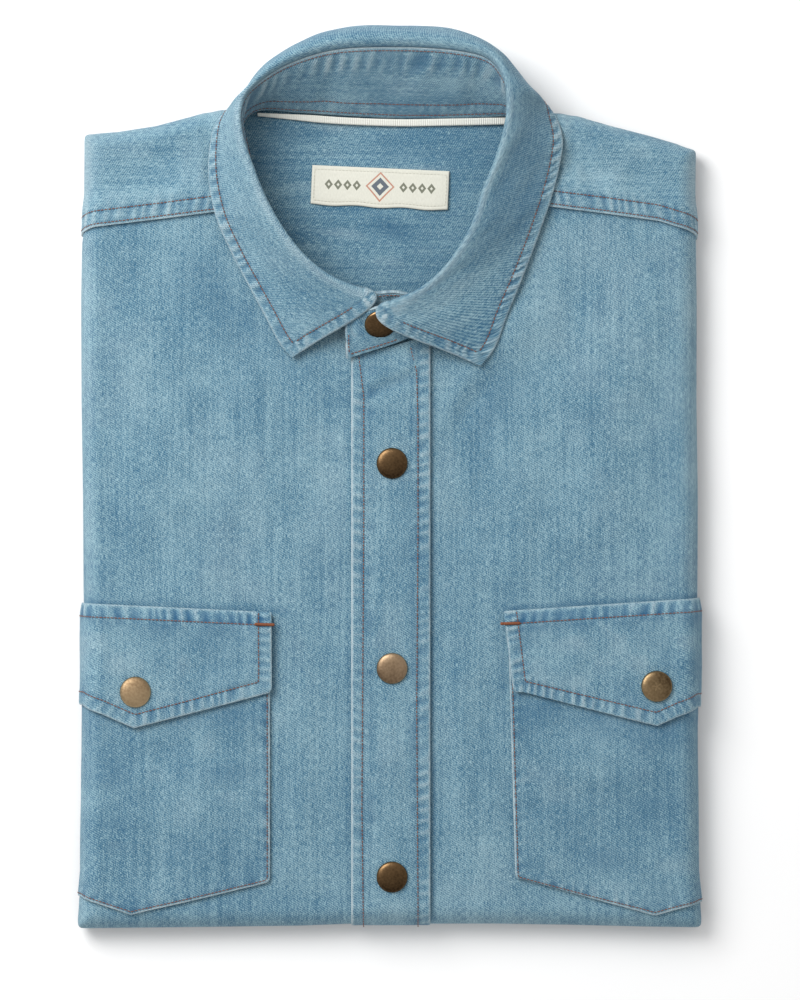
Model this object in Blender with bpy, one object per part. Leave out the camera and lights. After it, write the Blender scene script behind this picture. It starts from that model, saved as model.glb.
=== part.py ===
"""A denim shirt, folded and laid flat on its back: fronts with a placket, pointed pockets with
flaps, shoulder yokes, a collar on a stand, a neck tape, a label and six snaps. The back, the
sleeves and the tails are folded behind, into one rounded solid with layered edges.

Sizes are in millimetres and are turned to metres when a mesh is made. X runs across the shirt,
Y up to the collar, Z up from the table. Left and right are the wearer's: his left is at +X.
"""

import math

import bmesh
import bpy
import numpy as np

MM = 0.001

# Folded body
HALF_WIDTH = 147.2
BOTTOM_Y = -215.0
TOP_Z = 18.0        # outer face of the fronts
WIDEST_Z = 7.5      # height at which the folded sides reach furthest out
SIDE_ROUND = 9.5    # plan width of the rounding at the sides and the bottom
SHOULDER_ROUND = 8.0
TURN_UNDER = 104.0  # degrees that the fronts turn round their folds
CORNER_PULL = 0.2

# Cloth
DENIM = 1.6
DOUBLE_DENIM = 2.0
TAPE_THICKNESS = 1.0
GAP = 0.45

# Height of the neck opening's floor, and its plan ellipse
FLOOR_Z = 10.0
WELL_X, WELL_Y = -7.5, 124.0
WELL_HALF_X, WELL_HALF_Y = 76.0, 66.0

# Placket and snaps
PLACKET_LEFT, PLACKET_RIGHT = -18.8, 19.2
PLACKET_THICKNESS = 2.2
FRONTS_MEET_X = 13.5
SNAP_RADIUS = 7.6
SNAP_HEIGHT = 2.2

# Where each shoulder line runs: distance from the middle, and Y
SHOULDER_RIGHT = ((60.0, 178.0), (90.0, 173.3), (113.0, 167.0), (131.0, 164.2), (150.0, 162.6))
SHOULDER_LEFT = ((60.0, 176.0), (90.0, 172.0), (105.0, 167.7), (125.0, 162.6), (150.0, 155.5))

# Lower edge of each yoke, on the front: distance from the middle, and Y
YOKE_EDGE_RIGHT = ((58.0, 129.5), (84.5, 126.7), (113.0, 123.0), (141.4, 119.5), (160.0, 114.0))
YOKE_EDGE_LEFT = ((50.0, 132.0), (76.0, 129.4), (103.0, 126.0), (129.0, 122.4), (160.0, 112.5))
YOKE_LAP = 9.0

# Soft folds on the fronts: a line from one end to the other, half width, height (a trough is < 0)
FOLD_COLUMNS = ("x0", "y0", "x1", "y1", "half_width", "height")
FOLDS = (
    (24.0, -8.0, 82.0, 78.0, 15.0, -1.3),
    (34.0, 38.0, 70.0, 88.0, 14.0, 1.5),
    (100.0, -45.0, 112.0, 100.0, 16.0, 1.2),
    (-100.0, -40.0, -118.0, 90.0, 24.0, 1.1),
    (-72.0, -30.0, -60.0, 60.0, 18.0, 0.9),
    (-44.0, 20.0, -90.0, 104.0, 15.0, -1.0),
    (66.0, -140.0, 140.0, -126.0, 24.0, 0.8),
    (-64.0, -160.0, -140.0, -150.0, 26.0, 0.7),
)

# The collar, a row for each section, from the underlap end round the neck to the overlap end:
# neck seam, top of the stand, and outer edge of the leaf. bow bends the leaf forward and rise
# arches it, where it passes over the front of the stand.
STAND_COLUMNS = ("neck_x", "neck_y", "neck_z", "top_x", "top_y", "top_z")
COLLAR_COLUMNS = STAND_COLUMNS + ("edge_x", "edge_y", "edge_z", "bow", "rise")
UNDERLAP = (
    (12.0, 68.0, 19.6, 11.0, 86.5, 26.0),
    (1.0, 67.5, 19.6, 2.0, 88.5, 26.8),
)
LEAF = (
    (-9.0, 67.5, 19.5, -8.5, 89.0, 28.4, -47.0, 56.6, 20.8, 6.0, 3.0),
    (-20.0, 70.5, 19.4, -19.0, 90.6, 30.4, -53.0, 64.0, 20.6, 2.0, 1.5),
    (-32.0, 79.5, 19.4, -30.5, 95.6, 32.5, -60.2, 77.5, 20.6, 0.0, 0.0),
    (-43.0, 92.0, 19.4, -41.5, 104.5, 34.0, -68.5, 93.0, 20.6, 0.0, 0.0),
    (-52.0, 108.0, 19.6, -51.0, 116.5, 35.5, -75.8, 107.0, 20.8, 0.0, 0.0),
    (-60.0, 126.0, 21.0, -59.5, 131.5, 36.5, -83.2, 124.0, 22.0, 0.0, 0.0),
    (-66.0, 145.0, 20.2, -66.3, 148.5, 37.5, -86.8, 142.0, 21.6, 0.0, 0.0),
    (-69.5, 160.0, 19.4, -70.8, 163.0, 38.0, -86.2, 158.5, 20.8, 0.0, 0.0),
    (-71.0, 169.5, 17.8, -72.0, 176.0, 38.0, -83.4, 172.0, 18.4, 0.0, 0.0),
    (-63.0, 173.4, 13.4, -66.6, 186.5, 37.5, -72.6, 181.5, 6.5, 0.0, 0.0),
    (-45.0, 173.4, 11.8, -49.5, 197.0, 36.5, -57.5, 197.5, 3.0, 0.0, 0.0),
    (-22.0, 172.8, 11.4, -26.0, 203.4, 36.0, -27.5, 210.0, 2.4, 0.0, 0.0),
    (4.0, 172.6, 11.2, 4.0, 204.7, 35.5, 6.0, 212.6, 2.2, 0.0, 0.0),
    (28.0, 172.7, 11.4, 29.0, 203.3, 36.0, 31.0, 210.4, 2.4, 0.0, 0.0),
    (46.0, 173.2, 12.0, 46.5, 199.8, 36.5, 52.5, 201.5, 3.0, 0.0, 0.0),
    (57.5, 173.2, 14.2, 55.0, 190.5, 37.5, 66.5, 187.5, 5.0, 0.0, 0.0),
    (60.0, 168.5, 17.6, 56.8, 178.5, 38.0, 79.0, 176.2, 15.0, 0.0, 0.0),
    (58.5, 158.0, 19.4, 55.0, 166.0, 38.0, 82.2, 162.0, 21.0, 0.0, 0.0),
    (55.0, 142.0, 20.8, 50.5, 150.0, 37.0, 80.6, 148.0, 21.6, 0.0, 0.0),
    (50.5, 126.0, 21.2, 44.6, 135.0, 35.5, 77.0, 134.0, 22.0, 0.0, 0.0),
    (44.0, 110.0, 19.8, 39.6, 119.5, 34.5, 71.8, 118.5, 20.8, 0.0, 0.0),
    (36.0, 94.5, 19.4, 32.0, 106.0, 33.5, 67.0, 105.5, 20.6, 0.0, 0.0),
    (27.5, 82.0, 19.6, 23.4, 95.4, 32.5, 62.4, 93.5, 20.6, 0.0, 0.0),
    (17.5, 73.0, 21.4, 14.0, 88.4, 32.0, 56.2, 78.5, 20.6, 0.0, 1.0),
    (6.0, 67.0, 22.2, 3.8, 84.6, 31.6, 50.2, 62.5, 20.8, 4.0, 4.0),
    (-4.0, 64.0, 22.2, -5.0, 81.8, 30.8, 43.0, 52.5, 21.0, 9.0, 6.0),
)
OVERLAP = (
    (-13.0, 60.6, 22.0, -13.5, 79.2, 28.6),
    (-21.0, 57.8, 21.8, -21.6, 75.6, 26.2),
)
STAND_THICKNESS = 1.8
LEAF_THICKNESS = 1.8
LEAF_GAP = 2.15     # between the stand's top and the leaf, where the leaf folds sharply over
ROLL_LENGTH = 3.4   # how far the leaf goes on up along the stand before it rolls over
ROLL_RISE = 1.4
ROLL_PER_DROP = 0.1
LYING_RISE = 3.5    # crown of the leaf where it lies on the fronts
LYING_SHARE = 0.4
BACK_BULGE = 7.0    # how far the leaf bows out behind the neck, where it hangs to the table
BACK_SHARE = 0.75
LEAF_STEPS = 8

# Pockets and flaps, a row for each side of the shirt: the outline's corners
POCKET_COLUMNS = ("inner_x", "top_y", "corner_x", "corner_y", "point_x", "point_y", "outer_y")
POCKETS = {
    "right": (57.8, -74.0, 57.8, -194.9, 122.3, -210.4, -202.0),
    "left": (56.5, -74.0, 60.0, -193.4, 125.0, -210.6, -205.0),
}
FLAP_COLUMNS = (
    "inner_x", "inner_y", "outer_top_y", "corner_x", "corner_y", "point_x", "point_y", "outer_y",
)
FLAPS = {
    "right": (57.0, -65.3, -61.0, 56.8, -103.6, 122.3, -121.0, -110.0),
    "left": (54.2, -64.8, -58.6, 59.0, -103.6, 127.8, -119.9, -111.0),
}
FLAP_RISE = 7.0     # below its top edge, where a flap climbs onto its pocket

# Label
LABEL_CENTRE = (-5.0, 139.1)
LABEL_SIZE = (66.2, 18.6)
LABEL_TURN = -2.6
LABEL_THICKNESS = 1.0

# Neck tape: its run along the back neck seam
TAPE_RUN = ((-61.0, 170.8), (-45.0, 170.9), (-22.0, 170.4), (4.0, 170.2), (28.0, 170.3), (53.0, 170.8))
TAPE_WIDTH = 3.0

# The hidden layers: room under the fronts for their troughs, the turn of the top over its edge,
# and the lips and grooves that show under the fronts' folded edges, as inset and height
TROUGH_ROOM = 1.6
HIDDEN_TURN = 66.0
HOLLOW_START, HOLLOW_RAMP = 1.18, 0.22
HIDDEN_TOP_Y = 170.0
LAYERS = ((5.5, 6.2), (2.6, 5.2), (2.0, 4.2), (4.6, 3.3), (3.0, 2.3), (3.4, 1.0), (4.6, 0.0))

COLOURS = {
    "denim": (0.17, 0.31, 0.42, 1.0),
    "dark_denim": (0.11, 0.22, 0.33, 1.0),
    "twill": (0.70, 0.68, 0.60, 1.0),
    "brass": (0.12, 0.07, 0.03, 1.0),
}


def smooth(t):
    t = min(max(t, 0.0), 1.0)
    return t * t * (3.0 - 2.0 * t)


def along(table, x):
    """The second column of a two-column table at x."""
    return float(np.interp(x, [row[0] for row in table], [row[1] for row in table]))


def folds(x, y):
    """Height that the soft folds add at a place on the fronts."""
    height = 0.0
    for row in FOLDS:
        fold = dict(zip(FOLD_COLUMNS, row))
        start = np.array((fold["x0"], fold["y0"]))
        run = np.array((fold["x1"], fold["y1"])) - start
        place = np.array((x, y)) - start
        t = float(place @ run / (run @ run))
        off = abs(float(place[0] * run[1] - place[1] * run[0])) / math.hypot(*run)
        fade = smooth(t / 0.3) * smooth((1.0 - t) / 0.3)
        height += fold["height"] * fade * math.exp(-((off / fold["half_width"]) ** 2))
    return height


def on_body(a, b, out=0.0):
    """The place a across and b up the folded body, measured over its rounded edges, out from
    the fronts' outer face."""
    side = -1.0 if a < 0 else 1.0
    flat_x = HALF_WIDTH - SIDE_ROUND
    theta = max(abs(a) - flat_x, 0.0) / SIDE_ROUND
    plan_x = side * (min(abs(a), flat_x) + SIDE_ROUND * math.sin(theta))
    shoulder = SHOULDER_RIGHT if a < 0 else SHOULDER_LEFT
    top_y = along(shoulder, abs(plan_x)) - SHOULDER_ROUND
    low_y = BOTTOM_Y + SIDE_ROUND
    if b < low_y:
        phi, round_y, y, way = (low_y - b) / SIDE_ROUND, SIDE_ROUND, low_y, -1.0
    elif b > top_y:
        phi, round_y, y, way = (b - top_y) / SHOULDER_ROUND, SHOULDER_ROUND, top_y, 1.0
    else:
        phi, round_y, y, way = 0.0, SIDE_ROUND, b, 0.0
    pull_x = 1.0 - CORNER_PULL * math.sin(phi) ** 2
    pull_y = 1.0 - CORNER_PULL * math.sin(theta) ** 2
    x = side * (min(abs(a), flat_x) + (SIDE_ROUND + out) * math.sin(theta) * pull_x)
    y += way * (round_y + out) * math.sin(phi) * pull_y
    turn = math.cos(theta), math.cos(phi)
    rise = turn[0] * turn[1] if min(turn) > 0 else min(turn)
    lift = folds(x, y) * max(rise, 0.0)
    return np.array((x, y, WIDEST_Z + (TOP_Z - WIDEST_Z + out) * rise + lift))


def edge_steps(count):
    """Places over a rounded edge, in from its end, as arc lengths from the start of the round."""
    return [SIDE_ROUND * math.radians(TURN_UNDER) * k / count for k in range(count, 0, -1)]


def neck_side(side):
    """The neck seam from the placket to the shoulder on one side: distance from the middle, Y."""
    rows = [dict(zip(COLLAR_COLUMNS, row)) for row in LEAF]
    rows = [row for row in rows if row["neck_x"] * side > 0 and row["neck_y"] < 165.0]
    return sorted((abs(row["neck_x"]), row["neck_y"]) for row in rows)


def add_mesh(name, mesh, colour, smooth_angle=40.0):
    """An object from a bmesh in millimetres, with its own material."""
    if mesh.calc_volume(signed=True) < 0:
        bmesh.ops.reverse_faces(mesh, faces=mesh.faces)
    data = bpy.data.meshes.new(name)
    bmesh.ops.scale(mesh, vec=(MM, MM, MM), verts=mesh.verts)
    mesh.to_mesh(data)
    mesh.free()
    data.shade_smooth()
    data.set_sharp_from_angle(angle=math.radians(smooth_angle))
    obj = bpy.data.objects.new(name, data)
    bpy.context.scene.collection.objects.link(obj)
    material = bpy.data.materials.new(name + "_material")
    material.use_nodes = True
    shader = material.node_tree.nodes["Principled BSDF"]
    shader.inputs["Base Color"].default_value = COLOURS[colour]
    shader.inputs["Roughness"].default_value = 0.35 if colour == "brass" else 0.9
    shader.inputs["Metallic"].default_value = 1.0 if colour == "brass" else 0.0
    data.materials.append(material)
    return obj


def add_wall(name, outer, inner, colour="denim"):
    """A closed wall between two grids of points with the same rows and columns."""
    mesh = bmesh.new()
    grids = [[[mesh.verts.new(point) for point in row] for row in grid] for grid in (outer, inner)]
    rows, columns = len(outer), len(outer[0])
    for grid, way in zip(grids, (1, -1)):
        for i in range(rows - 1):
            for j in range(columns - 1):
                cell = (grid[i][j], grid[i + 1][j], grid[i + 1][j + 1], grid[i][j + 1])
                mesh.faces.new(cell[::way])
    rim = [(i, 0) for i in range(rows)] + [(rows - 1, j) for j in range(1, columns)]
    rim += [(i, columns - 1) for i in range(rows - 2, -1, -1)]
    rim += [(0, j) for j in range(columns - 2, 0, -1)]
    for here, there in zip(rim, rim[1:] + rim[:1]):
        outside = [grids[0][i][j] for i, j in (there, here)]
        mesh.faces.new(outside + [grids[1][i][j] for i, j in (here, there)])
    return add_mesh(name, mesh, colour)


def add_panel(name, places, lift, thickness, colour="denim"):
    """A wall lying on the body: places is a grid of (a, b), and lift gives how far its inner face
    stands off the fronts' outer face at a place."""
    outer = [[on_body(a, b, lift(a, b) + thickness) for a, b in row] for row in places]
    inner = [[on_body(a, b, lift(a, b)) for a, b in row] for row in places]
    return add_wall(name, outer, inner, colour)


def thick(grid, thickness):
    """The two faces of a wall laid half each way from a grid of points."""
    grid = np.array(grid)
    normal = np.cross(np.gradient(grid, axis=0), np.gradient(grid, axis=1))
    normal /= np.linalg.norm(normal, axis=2, keepdims=True)
    return grid + normal * thickness / 2, grid - normal * thickness / 2


def through(rows, steps):
    """A smooth run through table rows, with that many steps from each row to the next."""
    rows = np.array(rows, float)
    before = np.vstack((2 * rows[0] - rows[1], rows[:-1]))
    after = np.vstack((rows[1:], 2 * rows[-1] - rows[-2]))
    slope = (after - before) / 2
    run = []
    for k in range(len(rows) - 1):
        for t in np.arange(steps) / steps:
            start, end = rows[k], rows[k + 1]
            hermite = (2 * t**3 - 3 * t**2 + 1) * start + (t**3 - 2 * t**2 + t) * slope[k]
            run.append(hermite + (3 * t**2 - 2 * t**3) * end + (t**3 - t**2) * slope[k + 1])
    return np.array(run + [rows[-1]])


def make_hidden_layers():
    """Back, sleeves, tails and side stretches in one rounded solid: a flat underside, lips and
    grooves round its edge for the folded layers, and a hollow under the neck opening."""
    under = -(DENIM + GAP + TROUGH_ROOM)
    flat_x = HALF_WIDTH - SIDE_ROUND
    turn = SIDE_ROUND * math.radians(HIDDEN_TURN)
    across = [-flat_x - turn, -flat_x - turn / 2]
    across += list(np.linspace(-flat_x, flat_x, 14)) + [flat_x + turn / 2, flat_x + turn]
    grid = []
    for a in across:
        shoulder = SHOULDER_RIGHT if a < 0 else SHOULDER_LEFT
        low = BOTTOM_Y + SIDE_ROUND
        high = along(shoulder, min(abs(a), HALF_WIDTH)) - SHOULDER_ROUND
        up = [low - turn, low - turn / 2] + list(np.linspace(low, high, 17))
        up += [high + SHOULDER_ROUND * math.radians(HIDDEN_TURN * share) for share in (0.5, 1.0)]
        column = []
        for b in up:
            point = on_body(a, b, under)
            point[2] -= folds(point[0], point[1])
            reach = math.hypot((point[0] - WELL_X) / WELL_HALF_X, (point[1] - WELL_Y) / WELL_HALF_Y)
            hollow = 1.0 - smooth((reach - HOLLOW_START) / HOLLOW_RAMP)
            floor = FLOOR_Z - DENIM - GAP
            point[2] = min(point[2], point[2] + (floor - point[2]) * hollow)
            column.append(point)
        grid.append(column)
    mesh = bmesh.new()
    verts = [[mesh.verts.new(point) for point in column] for column in grid]
    for i in range(len(verts) - 1):
        for j in range(len(verts[0]) - 1):
            mesh.faces.new((verts[i][j], verts[i + 1][j], verts[i + 1][j + 1], verts[i][j + 1]))
    last_i, last_j = len(verts) - 1, len(verts[0]) - 1
    rim = [(i, 0) for i in range(last_i)] + [(last_i, j) for j in range(last_j)]
    rim += [(i, last_j) for i in range(last_i, 0, -1)] + [(0, j) for j in range(last_j, 0, -1)]
    ring = [verts[i][j] for i, j in rim]
    middle = np.array((0.0, (BOTTOM_Y + HIDDEN_TOP_Y) / 2))
    half = np.array((HALF_WIDTH, HIDDEN_TOP_Y - middle[1]))
    outline = [(grid[i][j][:2] - middle) * (1.0 - under / half) for i, j in rim]
    for inset, z in LAYERS:
        places = [place * (1.0 - inset / half) + middle for place in outline]
        lower = [mesh.verts.new((*place, z)) for place in places]
        for k in range(len(ring)):
            follow = (k + 1) % len(ring)
            mesh.faces.new((ring[follow], ring[k], lower[k], lower[follow]))
        ring = lower
    mesh.faces.new(ring[::-1])
    return add_mesh("hidden_layers", mesh, "dark_denim")


def make_front(name, side, inner_x):
    """One front: from its edge under the placket, over the side fold, and from the bottom fold up
    to the neck seam and under the yoke."""
    flat_x = HALF_WIDTH - SIDE_ROUND
    across = [flat_x + step for step in edge_steps(4)] + list(np.linspace(flat_x, inner_x * side, 9))
    yoke = YOKE_EDGE_RIGHT if side < 0 else YOKE_EDGE_LEFT
    neck = neck_side(side)
    low = BOTTOM_Y + SIDE_ROUND
    places = []
    for reach in across:
        high = along(yoke, abs(reach)) + YOKE_LAP
        if reach < neck[-1][0]:
            high = min(high, along(neck, reach) - 1.0)
        up = [low - step for step in edge_steps(4)] + list(np.linspace(low, high, 18))
        places.append([(reach * side, b) for b in up])
    return add_panel(name, places, lambda a, b: -DENIM, DENIM)


def make_placket():
    """The folded strip down the front, over both fronts, from the bottom fold to the stand."""
    low = BOTTOM_Y + SIDE_ROUND
    places = []
    for x in np.linspace(PLACKET_LEFT, PLACKET_RIGHT, 5):
        high = 55.2 + 0.28 * (x - PLACKET_LEFT)
        up = [low - step for step in edge_steps(4)] + list(np.linspace(low, high, 20))
        places.append([(x, b) for b in up])
    return add_panel("placket", places, lambda a, b: GAP, PLACKET_THICKNESS)


def make_yoke(name, side):
    """A shoulder stretch of the yoke: its folded edge lies on the front, and it rolls over the
    shoulder and the side fold."""
    flat_x = HALF_WIDTH - SIDE_ROUND
    shoulder = SHOULDER_RIGHT if side < 0 else SHOULDER_LEFT
    edge = YOKE_EDGE_RIGHT if side < 0 else YOKE_EDGE_LEFT
    neck = [(y, x) for x, y in neck_side(side)]
    places = []
    for t in np.linspace(0.0, 1.0, 12):
        column = []
        for v in (0.0, 0.12, 0.24, 0.42, 0.6, 0.8, 1.0, 1.5, 2.0):
            reach_out = flat_x + SIDE_ROUND * math.radians(TURN_UNDER)
            inner = along(sorted(neck), 118.0 + 46.0 * min(v, 1.0)) + 3.4
            split = 4 / 11
            if t <= split:
                reach = reach_out + (flat_x - reach_out) * t / split
            else:
                reach = flat_x + (inner - flat_x) * (t - split) / (1.0 - split)
            low = along(edge, reach)
            high = along(shoulder, min(reach, HALF_WIDTH)) - SHOULDER_ROUND
            turned = SHOULDER_ROUND * math.radians(TURN_UNDER) * max(v - 1.0, 0.0)
            column.append((side * reach, low + (high - low) * min(v, 1.0) + turned))
        places.append(column)

    def lift(a, b):
        past = b - along(edge, abs(a)) - YOKE_LAP
        return GAP - (GAP + DENIM) * smooth(past / 12.0)

    return add_panel(name, places, lift, DENIM)


def make_yoke_inside():
    """The inner face of the back yoke, which is the floor of the neck opening."""
    outer, inner = [], []
    for u in np.linspace(-1.0, 1.0, 11):
        rows = ([], [])
        for v in np.linspace(-1.0, 1.0, 11):
            narrow, short = (0.5, 0.5) if v < 0.0 else (0.25, 0.0)
            x = WELL_X + WELL_HALF_X * 0.87 * u * math.sqrt(1.0 - narrow * v * v)
            y = WELL_Y + WELL_HALF_Y * 0.84 * v * math.sqrt(1.0 - short * u * u)
            y = min(y, along(TAPE_RUN, x) - TAPE_WIDTH / 2 - GAP)
            dimple = -0.8 * math.exp(-(((x - 4.0) / 16.0) ** 2) - ((y - 115.0) / 10.0) ** 2)
            rows[0].append((x, y + 0.4 * v, FLOOR_Z + max(dimple, -0.3)))
            rows[1].append((x, y + 0.4 * v, FLOOR_Z - DENIM))
        outer.append(rows[0])
        inner.append(rows[1])
    return add_wall("yoke_inside", outer, inner)


def make_collar():
    """The stand, lofted from the neck seam up, and the leaf, lofted from the stand's top over the
    roll and down to its outer edge."""
    rows = UNDERLAP + LEAF + OVERLAP
    neck = [row[0:3] for row in rows]
    top = [row[3:6] for row in rows]
    bottom_run, top_run = through(neck, 2), through(top, 2)
    stand = [[low + (high - low) * t for t in (0.0, 1 / 3, 2 / 3, 1.0)]
             for low, high in zip(bottom_run, top_run)]
    add_wall("collar_stand", *thick(stand, STAND_THICKNESS))

    sections = []
    for row in through(LEAF, 2):
        section = dict(zip(COLLAR_COLUMNS, row))
        seam = np.array((section["neck_x"], section["neck_y"], section["neck_z"]))
        start = np.array((section["top_x"], section["top_y"], section["top_z"]))
        edge = np.array((section["edge_x"], section["edge_y"], section["edge_z"]))
        rising = (start - seam) / np.linalg.norm(start - seam)
        start = start + rising * LEAF_GAP
        inward = start[:2] - edge[:2]
        inward = np.array((*inward, 0.0)) / np.linalg.norm(inward)
        forward = np.array((inward[1], -inward[0], 0.0))
        if forward[1] > 0:
            forward = -forward
        behind = smooth((20.0 - edge[2]) / 14.0)
        drop = start[2] - edge[2]
        up = np.array((0.0, 0.0, 1.0))
        roll = start + rising * (ROLL_LENGTH + ROLL_PER_DROP * drop)
        roll = roll + up * (ROLL_RISE + ROLL_PER_DROP * drop + section["rise"])
        roll = roll + forward * section["bow"]
        lying = edge + (start - edge) * (LYING_SHARE, LYING_SHARE, 0.0) + up * LYING_RISE
        hanging = edge - inward * BACK_BULGE + up * BACK_SHARE * drop
        hang = lying + (hanging - lying) * behind
        points = []
        for t in np.linspace(0.0, 1.0, LEAF_STEPS + 1) ** 1.25:
            s = 1.0 - t
            points.append(s**3 * start + 3 * s**2 * t * roll + 3 * s * t**2 * hang + t**3 * edge)
        sections.append(points)
    add_wall("collar_leaf", *thick(sections, LEAF_THICKNESS))


def make_neck_tape():
    """The twill tape that covers the back neck seam."""
    outer, inner = [], []
    for x, y in through(TAPE_RUN, 3):
        low = np.array((x, y - TAPE_WIDTH / 2, FLOOR_Z + 0.4))
        high = np.array((x, y + TAPE_WIDTH / 2, FLOOR_Z + 1.4))
        outer.append((low + (0.0, 0.0, TAPE_THICKNESS), high + (0.0, 0.0, TAPE_THICKNESS)))
        inner.append((low, high))
    add_wall("neck_tape", outer, inner, "twill")


def make_label():
    """The woven label sewn inside the yoke, with a blank face."""
    turn = math.radians(LABEL_TURN)
    outer, inner = [], []
    for u in np.linspace(-0.5, 0.5, 7):
        rows = ([], [])
        for v in (-0.5, 0.0, 0.5):
            x, y = u * LABEL_SIZE[0], v * LABEL_SIZE[1]
            place = (
                LABEL_CENTRE[0] + x * math.cos(turn) - y * math.sin(turn),
                LABEL_CENTRE[1] + x * math.sin(turn) + y * math.cos(turn),
            )
            rows[0].append((*place, FLOOR_Z + GAP + LABEL_THICKNESS))
            rows[1].append((*place, FLOOR_Z + GAP))
        outer.append(rows[0])
        inner.append(rows[1])
    add_wall("label", outer, inner, "twill")


def side_columns(inner_x, point_x):
    """Distances from the middle at which a pocket or flap is divided: round the fold, out to the
    point, and in to its inner edge."""
    flat_x = HALF_WIDTH - SIDE_ROUND
    round_part = [flat_x + step for step in edge_steps(4)[1:]] + [flat_x]
    return round_part + list(np.linspace(point_x, inner_x, 6))


def pointed_edge(shape, reach):
    """Y of a pointed lower edge at a distance from the middle."""
    table = (
        (shape["corner_x"], shape["corner_y"]),
        (shape["point_x"], shape["point_y"]),
        (HALF_WIDTH, shape["outer_y"]),
    )
    return along(table, reach)


def make_pocket(name, side, row):
    """A patch pocket: straight inner edge, pointed bottom, and its outer part round the fold."""
    shape = dict(zip(POCKET_COLUMNS, row))
    places = []
    for reach in side_columns(shape["inner_x"], shape["point_x"]):
        low = pointed_edge(shape, reach)
        ups = [low, *np.linspace(max(low + 2.0, BOTTOM_Y + SIDE_ROUND), shape["top_y"], 8)]
        slant = shape["corner_x"] - shape["inner_x"]
        near = smooth((shape["point_x"] - reach) / (shape["point_x"] - shape["inner_x"]))
        column = []
        for b in ups:
            share = (shape["top_y"] - b) / (shape["top_y"] - shape["corner_y"])
            column.append((side * (reach + slant * near * min(share, 1.0)), b))
        places.append(column)
    add_panel(name, places, lambda a, b: GAP, DENIM)


def make_flap(name, side, row):
    """A pocket flap: sewn down along its top edge, over the pocket's mouth, with a point."""
    shape = dict(zip(FLAP_COLUMNS, row))
    slant = shape["corner_x"] - shape["inner_x"]
    top_line = ((shape["inner_x"], shape["inner_y"]), (HALF_WIDTH, shape["outer_top_y"]))
    places = []
    for reach in side_columns(shape["inner_x"], shape["point_x"]):
        high, low = along(top_line, reach), pointed_edge(shape, reach)
        near = smooth((shape["point_x"] - reach) / (shape["point_x"] - shape["inner_x"]))
        column = []
        for t in (0.0, 0.2, 0.4, 0.6, 0.8, 1.0):
            column.append((side * (reach + slant * near * t), high + (low - high) * t))
        places.append(column)

    def lift(a, b):
        climb = smooth((along(top_line, abs(a)) - b) / FLAP_RISE)
        return GAP + (DENIM + GAP) * climb

    add_panel(name, places, lift, DOUBLE_DENIM)


def add_snap(name, place, normal):
    """A domed cap with a rolled rim, standing on its seat."""
    profile = ((0.0, 0.0), (0.94, 0.0), (1.0, 0.16), (1.0, 0.40), (0.93, 0.62), (0.70, 0.84), (0.38, 0.97))
    mesh = bmesh.new()
    count = 24
    rings = []
    for radius, height in profile[1:]:
        ring = []
        for k in range(count):
            angle = 2.0 * math.pi * k / count
            spot = (radius * math.cos(angle), radius * math.sin(angle))
            ring.append(mesh.verts.new((*(SNAP_RADIUS * c for c in spot), SNAP_HEIGHT * height)))
        rings.append(ring)
    for low, high in zip(rings, rings[1:]):
        for k in range(count):
            mesh.faces.new((low[k], low[(k + 1) % count], high[(k + 1) % count], high[k]))
    mesh.faces.new(rings[0][::-1])
    crown = mesh.verts.new((0.0, 0.0, SNAP_HEIGHT))
    for k in range(count):
        mesh.faces.new((rings[-1][k], rings[-1][(k + 1) % count], crown))
    obj = add_mesh(name, mesh, "brass")
    obj.rotation_mode = "QUATERNION"
    axis = np.cross((0.0, 0.0, 1.0), normal)
    lean = math.asin(min(float(np.linalg.norm(axis)), 1.0))
    if lean > 1e-6:
        unit = axis / np.linalg.norm(axis) * math.sin(lean / 2)
        obj.rotation_quaternion = (math.cos(lean / 2), *unit)
    obj.location = np.array(place) * MM


def snap_on_body(name, x, y, seat):
    """A snap on the fronts, its seat that far out from their outer face."""
    here = on_body(x, y, seat)
    slope = np.cross(on_body(x + 4.0, y, seat) - here, on_body(x, y + 4.0, seat) - here)
    add_snap(name, here + slope / np.linalg.norm(slope) * GAP, slope / np.linalg.norm(slope))


def main():
    for obj in list(bpy.data.objects):
        bpy.data.objects.remove(obj, do_unlink=True)
    make_hidden_layers()
    make_front("front_right", -1.0, FRONTS_MEET_X)
    make_front("front_left", 1.0, FRONTS_MEET_X + GAP)
    make_placket()
    make_yoke("yoke_right", -1.0)
    make_yoke("yoke_left", 1.0)
    make_yoke_inside()
    make_collar()
    make_neck_tape()
    make_label()
    for side_name, side in (("right", -1.0), ("left", 1.0)):
        make_pocket("pocket_" + side_name, side, POCKETS[side_name])
        make_flap("flap_" + side_name, side, FLAPS[side_name])
    placket_face = GAP + PLACKET_THICKNESS
    for number, y in enumerate((6.1, -92.3, -192.3), start=1):
        snap_on_body("snap_front_%d" % number, 0.8, y, placket_face)
    flap_face = GAP + DENIM + GAP + DOUBLE_DENIM
    snap_on_body("snap_flap_right", -121.7, -103.6, flap_face)
    snap_on_body("snap_flap_left", 127.1, -100.8, flap_face)
    slope = np.array((0.05, -0.49, 1.0))
    slope /= np.linalg.norm(slope)
    add_snap("snap_collar", np.array((-5.0, 73.4, 26.6)) + slope * (STAND_THICKNESS / 2 + GAP), slope)


main()
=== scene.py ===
"""The looks of a folded denim shirt, laid flat on its back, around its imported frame."""

import math

import bmesh
import bpy
import numpy as np
from mathutils import Matrix, Vector


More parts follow.
